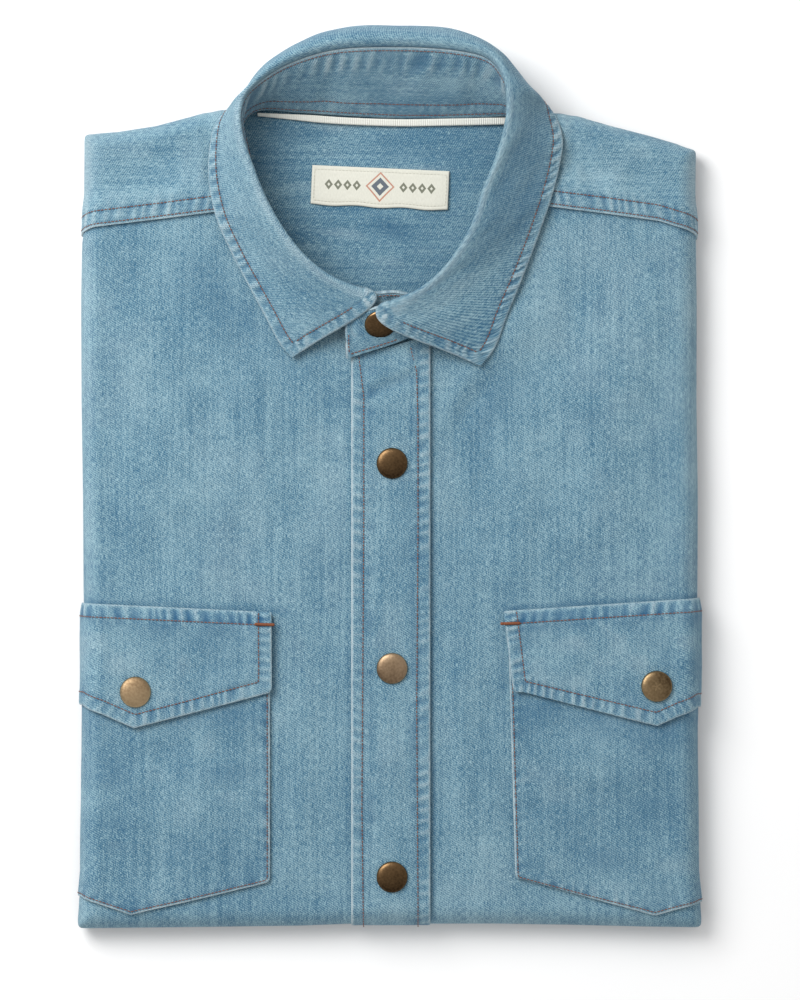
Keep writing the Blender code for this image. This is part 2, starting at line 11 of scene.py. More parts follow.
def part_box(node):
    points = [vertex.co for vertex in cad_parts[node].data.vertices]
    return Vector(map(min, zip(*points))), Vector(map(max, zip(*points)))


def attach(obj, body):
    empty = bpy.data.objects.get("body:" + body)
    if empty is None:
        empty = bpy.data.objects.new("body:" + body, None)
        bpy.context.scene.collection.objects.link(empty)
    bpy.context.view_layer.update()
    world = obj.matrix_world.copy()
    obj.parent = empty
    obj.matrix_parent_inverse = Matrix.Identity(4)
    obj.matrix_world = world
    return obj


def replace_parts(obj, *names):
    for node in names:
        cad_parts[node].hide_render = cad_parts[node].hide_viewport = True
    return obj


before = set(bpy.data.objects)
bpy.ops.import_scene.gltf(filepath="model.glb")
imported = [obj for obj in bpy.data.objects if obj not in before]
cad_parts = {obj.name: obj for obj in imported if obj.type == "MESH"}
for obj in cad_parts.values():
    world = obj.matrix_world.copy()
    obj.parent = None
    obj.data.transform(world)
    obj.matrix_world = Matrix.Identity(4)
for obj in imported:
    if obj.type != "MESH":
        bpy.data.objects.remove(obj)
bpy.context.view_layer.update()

# ---------------------------------------------------------------------------------------------
# Stage: a white table under one large soft light from the upper left, seen from straight above.
# The frame is in metres; this script's own sizes are in millimetres, so MM turns one to the other.
MM = 0.001
VIEW_CENTRE = (4.6, -11.5)
VIEW_HEIGHT = 480.0
CAMERA_LENS = 180.0
CAMERA_SENSOR = 36.0
KEY_FROM = Vector((-0.79, 0.75, 1.15))
KEY_DISTANCE = 1.55
KEY_SIZE = 0.95
KEY_POWER = 23.5
SKY_STRENGTH = 0.62

scene = bpy.context.scene
scene.view_settings.view_transform = "Standard"
fronts_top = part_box("front_left")[1].z
camera = bpy.data.objects.new("camera", bpy.data.cameras.new("camera"))
camera.data.lens = CAMERA_LENS
camera.data.sensor_width = CAMERA_SENSOR
camera.data.clip_end = 20.0
view_distance = CAMERA_LENS / CAMERA_SENSOR * VIEW_HEIGHT * MM
camera.location = (VIEW_CENTRE[0] * MM, VIEW_CENTRE[1] * MM, fronts_top + view_distance)
scene.collection.objects.link(camera)
scene.camera = camera

key = bpy.data.objects.new("key", bpy.data.lights.new("key", "AREA"))
key.data.size = KEY_SIZE
key.data.energy = KEY_POWER
key.location = KEY_FROM.normalized() * KEY_DISTANCE
key.rotation_euler = KEY_FROM.to_track_quat("Z", "Y").to_euler()
scene.collection.objects.link(key)

scene.world = bpy.data.worlds.new("sky")
scene.world.use_nodes = True
scene.world.node_tree.nodes["Background"].inputs["Color"].default_value = (1.0, 1.0, 1.0, 1.0)
scene.world.node_tree.nodes["Background"].inputs["Strength"].default_value = SKY_STRENGTH

table_mesh = bmesh.new()
bmesh.ops.create_grid(table_mesh, x_segments=1, y_segments=1, size=3.0)
table = bpy.data.objects.new("table", bpy.data.meshes.new("table"))
table_mesh.to_mesh(table.data)
table_mesh.free()
scene.collection.objects.link(table)
table.data.materials.append(bpy.data.materials.new("white_table"))
table.data.materials[0].use_nodes = True
table_shader = table.data.materials[0].node_tree.nodes["Principled BSDF"]
table_shader.inputs["Base Color"].default_value = (0.93, 0.93, 0.93, 1.0)
table_shader.inputs["Roughness"].default_value = 0.9

# ---------------------------------------------------------------------------------------------
# Denim: light-washed indigo twill. The warp is dyed and rubbed pale, the weft is white, so the face
# is a fine diagonal heather with flecks along the weft and slubs along the warp. Seams rub paler on
# their ridges and keep a darker blue in their hollows, where painted shade is added too. Each piece's
# wear attribute says how rubbed (over 0) or darkened (under 0) the cloth is, and under 0 it
# also carries painted shade in creases and recesses and beside or under other parts.
DENIM_DEEP = (0.042, 0.140, 0.238)
DENIM_FACE = (0.146, 0.288, 0.371)
DENIM_PALE = (0.312, 0.478, 0.548)
DENIM_RUBBED = (0.52, 0.62, 0.65)
# The darkest blue: seam hollows, and painted shade
DENIM_HOLLOW_AND_SHADE = (0.030, 0.116, 0.222)
TWILL_PITCH = 0.95 * MM
WARP_SLUB = (0.36 * MM, 2.6 * MM)
WEFT_FLECK = (0.95 * MM, 0.34 * MM)
TWILL_ANGLE = -58.0
WAVES_AT_SCALE_1 = 20.0 / (2.0 * math.pi)


class Wire:
    """A shader socket that can be added, multiplied and compared as a number."""

    def __init__(self, shader, socket):
        self.shader, self.socket = shader, socket

    def math(self, operation, *others):
        return self.shader.node(
            "ShaderNodeMath", {"operation": operation}, dict(enumerate((self, *others)))
        )

    def __add__(self, other):
        return self.math("ADD", other)

    __radd__ = __add__

    def __mul__(self, other):
        return self.math("MULTIPLY", other)

    __rmul__ = __mul__

    def __sub__(self, other):
        return self.math("SUBTRACT", other)

    def __rsub__(self, other):
        return (self * -1.0) + other

    def clamped(self):
        return self.math("MAXIMUM", 0.0).math("MINIMUM", 1.0)


class Shader:
    """A Principled material whose nodes are added by one call each."""

    def __init__(self, name, roughness, metallic=0.0):
        self.material = bpy.data.materials.new(name)
        self.material.use_nodes = True
        self.tree = self.material.node_tree
        self.surface = self.tree.nodes["Principled BSDF"]
        self.surface.inputs["Roughness"].default_value = roughness
        self.surface.inputs["Metallic"].default_value = metallic

    def node(self, kind, settings=None, values=None, out=0):
        made = self.tree.nodes.new(kind)
        for key_name, value in (settings or {}).items():
            if key_name == "stops":
                ramp = made.color_ramp
                while len(ramp.elements) < len(value):
                    ramp.elements.new(0.5)
                for element, (place, colour) in zip(ramp.elements, value):
                    element.position = place
                    element.color = (*colour, 1.0)
            else:
                setattr(made, key_name, value)
        for socket, value in (values or {}).items():
            self.feed(made.inputs[socket], value)
        return Wire(self, made.outputs[out])

    def feed(self, socket, value):
        if isinstance(value, Wire):
            self.tree.links.new(value.socket, socket)
        elif isinstance(value, tuple) and socket.type == "RGBA":
            socket.default_value = (*value, 1.0)
        else:
            socket.default_value = value

    def mix(self, share, low, high):
        """A colour between two colours."""
        values = {"Factor": share, 6: low, 7: high}
        return self.node("ShaderNodeMix", {"data_type": "RGBA"}, values, out=2)

    def grain(self, place, size, detail=2.0, seed=0.0):
        """Noise from 0 to 1 in cells of that size across and along."""
        values = {"Vector": place, "Location": (seed, seed * 0.7, 0.0)}
        values["Scale"] = (1.0 / size[0], 1.0 / size[1], 1.0)
        values = {"Vector": self.node("ShaderNodeMapping", {}, values), "Scale": 1.0, "Detail": detail}
        return self.node("ShaderNodeTexNoise", {}, values)

    def flat_map(self, name="cloth"):
        """Places on a piece's flat map."""
        return self.node("ShaderNodeUVMap", {"uv_map": name})

    def split(self, place):
        """How far across and how far up a place is."""
        return [self.node("ShaderNodeSeparateXYZ", {}, {"Vector": place}, out=k) for k in (0, 1)]

    def attribute(self, name):
        return self.node("ShaderNodeAttribute", {"attribute_name": name}, {}, out=2)

    def turned(self, place, degrees):
        rotation = (0.0, 0.0, math.radians(degrees))
        return self.node("ShaderNodeMapping", {}, {"Vector": place, "Rotation": rotation})

    def bands(self, place, pitch, values):
        """Bands from 0 to 1 that far apart, made uneven by the values."""
        values = {"Vector": place, "Scale": 1.0 / pitch / WAVES_AT_SCALE_1, **values}
        return self.node(
            "ShaderNodeTexWave", {"wave_type": "BANDS", "bands_direction": "X"}, values, out=1
        )

    def paint(self, colour, roughness=None, height=None, depth=0.0001):
        self.feed(self.surface.inputs["Base Color"], colour)
        if roughness is not None:
            self.feed(self.surface.inputs["Roughness"], roughness)
        if height is not None:
            bump = self.node("ShaderNodeBump", {}, {"Height": height, "Distance": depth})
            self.feed(self.surface.inputs["Normal"], bump)
        return self.material


def denim(name, seed, fade=0.0, crosswise=False):
    """Washed denim. fade lifts the shade, and crosswise turns the warp across the piece."""
    shader = Shader(name, 0.9)
    shader.surface.inputs["Sheen Weight"].default_value = 0.12
    shader.surface.inputs["Sheen Roughness"].default_value = 0.5
    shader.surface.inputs["Specular IOR Level"].default_value = 0.25
    place = shader.turned(shader.flat_map(), 90.0 if crosswise else 0.0)
    slub = shader.grain(place, WARP_SLUB, 3.0, seed)
    fleck = shader.grain(place, WEFT_FLECK, 2.0, seed + 3.0)
    heather = shader.grain(place, (0.38 * MM, 0.38 * MM), 3.0, seed + 7.0)
    nep = shader.grain(place, (0.9 * MM, 1.2 * MM), 0.0, seed + 9.0)
    streak = shader.grain(place, (1.8 * MM, 60.0 * MM), 3.0, seed + 11.0)
    wash = shader.grain(place, (28.0 * MM, 40.0 * MM), 3.0, seed + 13.0)
    cloud = shader.grain(place, (7.0 * MM, 9.0 * MM), 3.0, seed + 17.0)
    uneven = {"Distortion": 1.6, "Detail": 2.0, "Detail Scale": 2.0}
    twill = shader.bands(shader.turned(place, TWILL_ANGLE), TWILL_PITCH, uneven)
    weave = (slub - 0.5) * 2.5 + (fleck - 0.5) * 2.0 + (heather - 0.5) * 3.0 + (twill - 0.5) * 0.6
    neps = (nep - 0.70).math("MAXIMUM", 0.0) * 9.0
    broad = (streak - 0.5) * 0.95 + (wash - 0.5) * 0.8 + (cloud - 0.5) * 0.5 + (0.5 + fade)
    tone = weave + neps + broad
    face = shader.node(
        "ShaderNodeValToRGB",
        {"stops": ((0.0, DENIM_DEEP), (0.5, DENIM_FACE), (1.0, DENIM_PALE))},
        {"Fac": tone.clamped()},
    )
    # Over 0 the face is rubbed pale; under 0 it is darkened, partly the cloth's unrubbed blue and partly
    # painted shade
    broken = shader.attribute("wear") * ((slub - 0.5) * 1.1 + (heather - 0.5) * 1.4 + 1.0)
    toned = shader.mix(broken.clamped(), face, DENIM_RUBBED)
    hollow_and_shade = shader.mix((broken * -1.0).clamped(), toned, DENIM_HOLLOW_AND_SHADE)
    return shader.paint(hollow_and_shade, None, weave, 0.00014)


# ---------------------------------------------------------------------------------------------
# Folded body: how the cloth lies over the stack. The sides, the hem and the shoulders are soft
# folds, and the fronts carry the creases that folding and the collar's pull leave in them.
right_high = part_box("front_right")[1]
left_low, left_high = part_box("front_left")
HALF_WIDTH = left_high.x / MM + 0.2
BOTTOM_Y = left_low.y / MM - 2.4
TOP_Z = 18.0
WIDEST_Z = 7.5
SIDE_ROUND = 9.5
SHOULDER_ROUND = 8.0
TURN_UNDER = 104.0
CORNER_POWER = 9.0
# How much wider than the pack the cloth is at each height, and how much higher its hem is across
WIDER_RIGHT = ((-216.0, 2.3), (-204.0, 1.7), (-190.0, 0.3), (-70.0, 0.0), (-55.0, 0.5), (-12.0, 1.0),
               (36.0, 2.0), (85.0, 2.5), (112.0, 2.2), (120.0, 1.4), (170.0, 1.3))
WIDER_LEFT = ((-216.0, 1.5), (-204.0, 0.9), (-190.0, -0.4), (-125.0, -0.6), (-100.0, 0.0), (-55.0, 0.5),
              (-12.0, 1.0), (36.0, 0.6), (85.0, 1.0), (130.0, 0.6), (170.0, 1.2))
HEM_RISE = ((-150.0, -0.9), (-90.0, -0.2), (-45.0, 0.4), (-20.0, 1.3), (50.0, 1.4), (85.0, 0.9),
            (120.0, 0.0), (150.0, -0.4))
FOLD_STRENGTH, CREASE_STRENGTH = 1.25, 1.6
SIDE_PRESS = 0.5
SPREAD = 0.006
DENIM_WALL = 1.4
DOUBLE_WALL = 1.9
SHOULDER_RIGHT = ((60.0, 180.0), (90.0, 175.0), (113.0, 168.8), (131.0, 166.0), (150.0, 164.6))
SHOULDER_LEFT = ((60.0, 178.0), (90.0, 173.6), (105.0, 169.2), (125.0, 164.0), (150.0, 156.6))
# Each crease runs from x0, y0 to x1, y1, with its half width and its rise (under 0, a trough)
FOLDS = (
    (24.0, -8.0, 82.0, 78.0, 15.0, -1.3),
    (34.0, 38.0, 70.0, 88.0, 14.0, 1.5),
    (100.0, -45.0, 112.0, 100.0, 16.0, 1.2),
    (-100.0, -40.0, -118.0, 90.0, 24.0, 1.1),
    (-72.0, -30.0, -60.0, 60.0, 18.0, 0.9),
    (-44.0, 20.0, -90.0, 104.0, 15.0, -1.0),
    (66.0, -140.0, 140.0, -126.0, 24.0, 0.8),
    (-64.0, -160.0, -140.0, -150.0, 26.0, 0.7),
)
# Smaller creases in the same columns, which only the looks carry
CREASES = (
    (23.0, 10.0, 60.0, 64.0, 5.0, -0.55),
    (28.0, -30.0, 50.0, 6.0, 7.0, -0.4),
    (26.0, 30.0, 40.0, 52.0, 4.0, 0.4),
    (60.0, -60.0, 66.0, 20.0, 8.0, 0.45),
    (84.0, 40.0, 92.0, 110.0, 9.0, -0.5),
    (118.0, 30.0, 126.0, 104.0, 8.0, 0.4),
    (128.0, -50.0, 134.0, 30.0, 7.0, -0.35),
    (-24.0, -20.0, -34.0, 44.0, 7.0, -0.35),
    (-30.0, 44.0, -62.0, 92.0, 6.0, 0.45),
    (-58.0, 30.0, -96.0, 82.0, 9.0, 0.4),
    (-100.0, 60.0, -128.0, 112.0, 8.0, -0.4),
    (-132.0, -50.0, -136.0, 60.0, 8.0, -0.35),
    (-40.0, -90.0, -44.0, -190.0, 6.0, 0.35),
    (34.0, -60.0, 36.0, -180.0, 6.0, 0.35),
    (-66.0, -128.0, -118.0, -136.0, 8.0, -0.35),
    (70.0, -150.0, 118.0, -162.0, 9.0, -0.3),
    (-84.0, 146.0, -110.0, 136.0, 6.0, 0.5),
    (-90.0, 160.0, -136.0, 140.0, 7.0, -0.5),
    (84.0, 160.0, 104.0, 136.0, 5.0, -0.8),
    (90.0, 162.0, 116.0, 134.0, 5.0, 0.7),
    (112.0, 150.0, 138.0, 130.0, 6.0, -0.4),
)


def smooth(t):
    t = np.clip(t, 0.0, 1.0)
    return t * t * (3.0 - 2.0 * t)


def along(table, x):
    """The second column of a two-column table at x."""
    return np.interp(x, [row[0] for row in table], [row[1] for row in table])


def creases(x, y, table):
    """Height that a table of creases adds at places on the fronts."""
    height = np.zeros(np.shape(x))
    for x0, y0, x1, y1, half_width, rise in table:
        length = math.hypot(x1 - x0, y1 - y0)
        run_x, run_y = (x1 - x0) / length, (y1 - y0) / length
        t = ((x - x0) * run_x + (y - y0) * run_y) / length
        off = (x - x0) * run_y - (y - y0) * run_x
        fade = smooth(t / 0.3) * smooth((1.0 - t) / 0.3)
        height += rise * fade * np.exp(-((off / half_width) ** 2))
    return height


def patchy(x, y, size, seed):
    """Smooth uneven values from -1 to 1, in patches of that size."""
    lattice = np.random.default_rng(int(seed)).uniform(-1.0, 1.0, (97, 97))
    gx, gy = x / size + 31.0, y / size + 31.0
    ix, iy = np.floor(gx).astype(int), np.floor(gy).astype(int)
    fx, fy = smooth(gx - ix), smooth(gy - iy)
    low = lattice[ix % 97, iy % 97] * (1 - fx) + lattice[(ix + 1) % 97, iy % 97] * fx
    high = lattice[ix % 97, (iy + 1) % 97] * (1 - fx) + lattice[(ix + 1) % 97, (iy + 1) % 97] * fx
    return low * (1 - fy) + high * fy


def on_body(a, b, out):
    """Places a across and b up the folded body, measured over its rounded edges, that far out."""
    a, b, out = np.broadcast_arrays(np.asarray(a, float), b, out)
    side = np.where(a < 0, -1.0, 1.0)
    flat_x = HALF_WIDTH - SIDE_ROUND
    theta = np.maximum(np.abs(a) - flat_x, 0.0) / SIDE_ROUND
    flat_a = np.minimum(np.abs(a), flat_x)
    edge_x = flat_a + SIDE_ROUND * np.sin(theta)
    top_y = np.where(a < 0, along(SHOULDER_RIGHT, edge_x), along(SHOULDER_LEFT, edge_x)) - SHOULDER_ROUND
    low_y = BOTTOM_Y + SIDE_ROUND + along(HEM_RISE, side * edge_x)
    phi_low = np.maximum(low_y - b, 0.0) / SIDE_ROUND
    phi_top = np.maximum(b - top_y, 0.0) / SHOULDER_ROUND
    both = (theta**CORNER_POWER + (phi_low + phi_top) ** CORNER_POWER) ** (1.0 / CORNER_POWER)
    most = math.radians(TURN_UNDER)
    turn = np.minimum(both, most) + 0.03 * np.maximum(both - most, 0.0)
    reach = np.sin(turn) / np.maximum(both, 1e-9)
    pressed = out * (1.0 - SIDE_PRESS * smooth(both))
    x = side * (flat_a + (SIDE_ROUND + pressed) * reach * theta)
    y = np.clip(b, low_y, top_y)
    wider = np.where(a < 0, along(WIDER_RIGHT, b), along(WIDER_LEFT, b)) - SPREAD * y
    x = x + side * wider * smooth((flat_a - 90.0) / 48.0)
    y = y - (SIDE_ROUND + pressed) * reach * phi_low
    y = y + (SHOULDER_ROUND + pressed) * reach * phi_top
    lift = creases(x, y, FOLDS) * FOLD_STRENGTH + creases(x, y, CREASES) * CREASE_STRENGTH
    lift = lift + 0.42 * patchy(x, y, 23.0, 5) + 0.14 * patchy(x, y, 8.0, 6)
    z = WIDEST_Z + (TOP_Z - WIDEST_Z + out) * np.cos(turn) + lift * np.maximum(np.cos(turn), 0.0)
    return np.stack((x, y, z), axis=-1)


def spaced(start, end, step, fine=(0.0, 0.3, 0.7, 1.3)):
    """Places from start to end, closer together near both ends, where the cloth turns over."""
    fine = np.array(fine)
    length = abs(end - start)
    inner = np.linspace(fine[-1], length - fine[-1], max(int(length / step), 3))
    places = np.concatenate((fine[:-1], inner, length - fine[-2::-1]))
    return start + places * (1.0 if end > start else -1.0)


def cloth(name, points, flat, wear, wall, material, wall_side=-1.0):
    """A sheet of cloth from a grid of places in millimetres, shown for the node of that name. flat
    gives each place on the cut cloth, and wear how rubbed (over 0) or darkened (under 0) it
    is, the darkening partly the cloth's own deeper blue and partly painted shade."""
    normals = np.cross(np.gradient(points, axis=0), np.gradient(points, axis=1))
    if normals[..., 2].mean() < 0:
        points, flat, wear = points[::-1], flat[::-1], wear[::-1]
    count_u, count_v = points.shape[:2]
    mesh = bmesh.new()
    bmesh.ops.create_grid(mesh, x_segments=count_u - 1, y_segments=count_v - 1, size=1.0)
    data = bpy.data.meshes.new(name + "_cloth")
    mesh.to_mesh(data)
    mesh.free()
    grid = np.empty(len(data.vertices) * 3)
    data.vertices.foreach_get("co", grid)
    grid = grid.reshape(-1, 3)
    i = np.rint((grid[:, 0] + 1.0) / 2.0 * (count_u - 1)).astype(int)
    j = np.rint((grid[:, 1] + 1.0) / 2.0 * (count_v - 1)).astype(int)
    data.vertices.foreach_set("co", (points[i, j] * MM).ravel())
    corner = np.empty(len(data.loops), int)
    data.loops.foreach_get("vertex_index", corner)
    data.uv_layers.new(name="cloth").uv.foreach_set("vector", (flat[i, j][corner] * MM).ravel())
    # The wear attribute: rubbed wear over 0, darker blue and painted shade under 0
    toned = data.attributes.new("wear", "FLOAT", "POINT")
    toned.data.foreach_set("value", wear[i, j])
    data.shade_smooth()
    data.update()
    piece = bpy.data.objects.new(name + "_cloth", data)
    scene.collection.objects.link(piece)
    data.materials.append(material)
    solid = piece.modifiers.new("wall", "SOLIDIFY")
    solid.thickness = wall * MM
    solid.offset = wall_side
    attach(piece, "root")
    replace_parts(piece, name)
    return piece


def rounded(points, first, second, radius):
    """A grid of places with the corner between two edges rounded, given each place's distance from
    those edges."""
    off = np.hypot(radius - first, radius - second)
    in_corner = (first < radius) & (second < radius) & (off > radius)
    share = np.where(in_corner, 1.0 - radius / np.maximum(off, radius), 0.0)
    centre = np.unravel_index(np.argmin(off), off.shape)
    return points + (points[centre] - points) * share[..., None]


def near_line(x, y, line):
    """Distance from places to a line through corners, and how far along it each is nearest."""
    best = np.full(np.shape(x), 1e9)
    where = np.zeros(np.shape(x))
    passed = 0.0
    for (x0, y0), (x1, y1) in zip(line, line[1:]):
        length = math.hypot(x1 - x0, y1 - y0)
        t = ((x - x0) * (x1 - x0) + (y - y0) * (y1 - y0)) / length**2
        t = np.clip(t, 0.0, 1.0)
        off = np.hypot(x - x0 - t * (x1 - x0), y - y0 - t * (y1 - y0))
        where = np.where(off < best, passed + t * length, where)
        best = np.minimum(off, best)
        passed += length
    return best, where


def seam(distance, run, rows, band, seed, pitch=6.0, rim=0.5, bars=1.0):
    """Height and wear beside a sewn edge: a rubbed rim, ridges where the band between two
    distances draws up, paler on their tops and darker between them, and a groove along each row of
    stitches. The darkening between the ridges and along the grooves is partly the cloth's unrubbed
    blue and partly painted shade."""
    flat_run = run * 0.0
    phase = 2.0 * math.pi * (run / pitch + 0.6 * patchy(run, flat_run + 9.0, 1.7 * pitch, seed + 1))
    ridge = np.cos(phase + 0.22 * distance) * (0.85 + 0.5 * patchy(run, flat_run, 9.0, seed))
    inside = smooth((distance - band[0] + 0.5) / 1.0) * smooth((band[1] + 0.4 - distance) / 1.0)
    inside = inside + 0.35 * np.exp(-(((distance - band[1] - 1.6) / 1.5) ** 2))
    height = bars * 0.26 * ridge * inside
    deeper = 0.75 + 0.5 * smooth((distance - band[0]) / (band[1] - band[0]))
    wear = bars * (0.42 * ridge - 0.10) * inside * np.where(ridge < 0, deeper, 1.0)
    # Along each groove: partly the cloth's unrubbed blue, partly painted shade
    for row in rows:
        groove = np.exp(-(((distance - row) / 0.7) ** 2))
        height = height - 0.26 * groove
        wear = wear - 0.26 * groove
    paling = np.exp(-((distance / 0.8) ** 2))
    height = height - 0.4 * np.exp(-((distance / 0.5) ** 2))
    wear = wear * (1.0 - paling) + paling * (rim + 0.18 * patchy(run, flat_run + 4.0, 5.0, seed + 2))
    return height, wear


# ---------------------------------------------------------------------------------------------
# Hidden layers: the back, both sleeves and the tails, folded behind into one pack. Their folds show
# as soft lips under the fronts' edge, and the pack rests flat on the table.
RIM_STEP = 2.2
HIDDEN_TOP_Y = 170.0
CORNER_CUT = 6.0
NECK_HALF, NECK_RIM_Y = 60.0, 175.2
# Each row of the rim's mesh is that far inside the pack's outline, at that height
LIPS = (
    (6.5, 7.2), (5.6, 6.3), (3.4, 6.0), (2.3, 5.5), (2.0, 5.0), (2.4, 4.5), (4.0, 4.15), (4.9, 3.9),
    (4.2, 3.6), (3.0, 3.3), (2.6, 2.8), (2.9, 2.3), (4.3, 2.05), (5.0, 1.85), (4.3, 1.6), (3.5, 1.2),
    (3.3, 0.7), (3.7, 0.25), (4.8, 0.0),
)


def finished(name, mesh, material, slot):
    """A smooth piece of that name from a bmesh in metres."""
    piece = bpy.data.objects.new(name, bpy.data.meshes.new(name))
    mesh.to_mesh(piece.data)
    mesh.free()
    piece.data.shade_smooth()
    piece.data.materials.append(material)
    scene.collection.objects.link(piece)
    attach(piece, "root")
    return piece


def body_rim():
    """Corners and sides of the pack's outline in plan, at close steps."""
    half = HALF_WIDTH - 0.6
    out = half - CORNER_CUT
    left = [(x, along(SHOULDER_LEFT, x) - 0.4) for x in np.arange(NECK_HALF + 2.0, out, RIM_STEP)]
    right = [(-x, along(SHOULDER_RIGHT, x) - 0.4) for x in np.arange(out, NECK_HALF + 2.0, -RIM_STEP)]
    rim = [(x, BOTTOM_Y + 0.6) for x in np.arange(-half + CORNER_CUT, out, RIM_STEP)]
    rim += [(half - 3.0, BOTTOM_Y + 2.0), (half - 1.2, BOTTOM_Y + 4.2)]
    low = BOTTOM_Y + CORNER_CUT + 1.0
    rim += [(half, y) for y in np.arange(low, left[-1][1] - CORNER_CUT, RIM_STEP)]
    rim += left[::-1]
    rim += [(x, NECK_RIM_Y) for x in np.arange(NECK_HALF, -NECK_HALF, -RIM_STEP)]
    rim += right[::-1]
    rim += [(-half, y) for y in np.arange(right[0][1] - CORNER_CUT, low, -RIM_STEP)]
    rim += [(-half + 1.2, BOTTOM_Y + 4.2), (-half + 3.0, BOTTOM_Y + 2.0)]
    return np.array(rim)


rim = body_rim()
middle = np.array((0.0, (BOTTOM_Y + HIDDEN_TOP_Y) / 2.0))
half_size = np.array((HALF_WIDTH, HIDDEN_TOP_Y - middle[1]))
rim_run = np.cumsum(np.linalg.norm(rim - np.roll(rim, 1, axis=0), axis=1))
hidden_mesh = bmesh.new()
bmesh.ops.create_grid(hidden_mesh, x_segments=len(rim), y_segments=len(LIPS) - 1, size=1.0)
for vert in hidden_mesh.verts:
    column = round((vert.co.x + 1.0) / 2.0 * len(rim)) % len(rim)
    row = round((vert.co.y + 1.0) / 2.0 * (len(LIPS) - 1))
    inset, height = LIPS[row]
    layer = 1 + row // 7
    shift = 0.55 * patchy(rim_run[column], 0.0, 34.0, 20 + layer) if height > 0 else 0.0
    inset += 0.9 * float(patchy(rim_run[column], 5.0, 40.0, 30 + layer)) + 0.5
    place = (rim[column] - middle) * (1.0 - inset / half_size) + middle
    vert.co = Vector((*place, max(height + shift * min(height, 1.0), 0.0))) * MM
bmesh.ops.remove_doubles(hidden_mesh, verts=hidden_mesh.verts, dist=0.00001)
bmesh.ops.holes_fill(hidden_mesh, edges=[e for e in hidden_mesh.edges if e.is_boundary])
bmesh.ops.triangulate(hidden_mesh, faces=[f for f in hidden_mesh.faces if len(f.verts) > 4])
bmesh.ops.recalc_face_normals(hidden_mesh, faces=hidden_mesh.faces)
flat_map = hidden_mesh.loops.layers.uv.new("cloth")
for face in hidden_mesh.faces:
    for loop in face.loops:
        loop[flat_map].uv = (loop.vert.co.x + loop.vert.co.y, loop.vert.co.z * 2.0)
folded_denim = denim("folded_denim", 41.0, -0.03)
hidden = finished("folded_back_and_sleeves", hidden_mesh, folded_denim, "denim_folded")
hidden.data.set_sharp_from_angle(angle=math.radians(60.0))
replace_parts(hidden, "hidden_layers")

# ---------------------------------------------------------------------------------------------
# Fronts: one panel each side, cut with the warp up the body. They run from under the placket over
# the side folds, turn under at the hem fold, and end under the collar and the yokes' lapped edges.
YOKE_EDGE_RIGHT = ((58.0, 129.5), (84.5, 126.7), (113.0, 123.0), (141.4, 119.5), (160.0, 114.0))
YOKE_EDGE_LEFT = ((50.0, 132.0), (76.0, 129.4), (103.0, 126.0), (129.0, 122.4), (160.0, 112.5))
YOKE_LAP = 9.0
NECK_RIGHT = ((-9.0, 67.5), (9.0, 67.5), (20.0, 70.5), (32.0, 79.5), (43.0, 92.0), (52.0, 108.0),
              (60.0, 126.0), (66.0, 145.0), (69.5, 160.0))
NECK_LEFT = ((4.0, 64.0), (17.5, 73.0), (27.5, 82.0), (36.0, 94.5), (44.0, 110.0), (50.5, 126.0),
             (55.0, 142.0), (58.5, 158.0))
# Painted shade beside what is sewn on the cloth (just above the flaps, along the placket's edges and
# beside the pockets' inner edges) and in the troughs of broad creases: each strip runs from x0, y0 to
# x1, y1, with its half width and its depth of shade
PAINTED_SHADE_STRIPS = (
    (-50.0, -64.9, -150.0, -60.2, 1.8, 0.42),
    (54.0, -64.0, 150.0, -57.6, 1.6, 0.42),
    (19.6, 40.0, 20.2, -216.0, 1.6, 0.35),
    (-19.0, 40.0, -19.4, -216.0, 1.4, 0.18),
    (-55.6, -74.0, -56.0, -110.0, 2.4, 0.25),
    (52.6, -70.0, 55.0, -104.0, 2.0, 0.2),
    (26.0, 26.0, 74.0, 44.0, 12.0, 0.12),
    (-30.0, 40.0, -96.0, 96.0, 13.0, 0.14),
    (40.0, 0.0, 48.0, 40.0, 7.0, 0.12),
)
FRONT_STEP = 1.45
FRONT_LENGTH = 350.0
around = SIDE_ROUND * math.radians(TURN_UNDER)
flat_x = HALF_WIDTH - SIDE_ROUND
flat_y = BOTTOM_Y + SIDE_ROUND

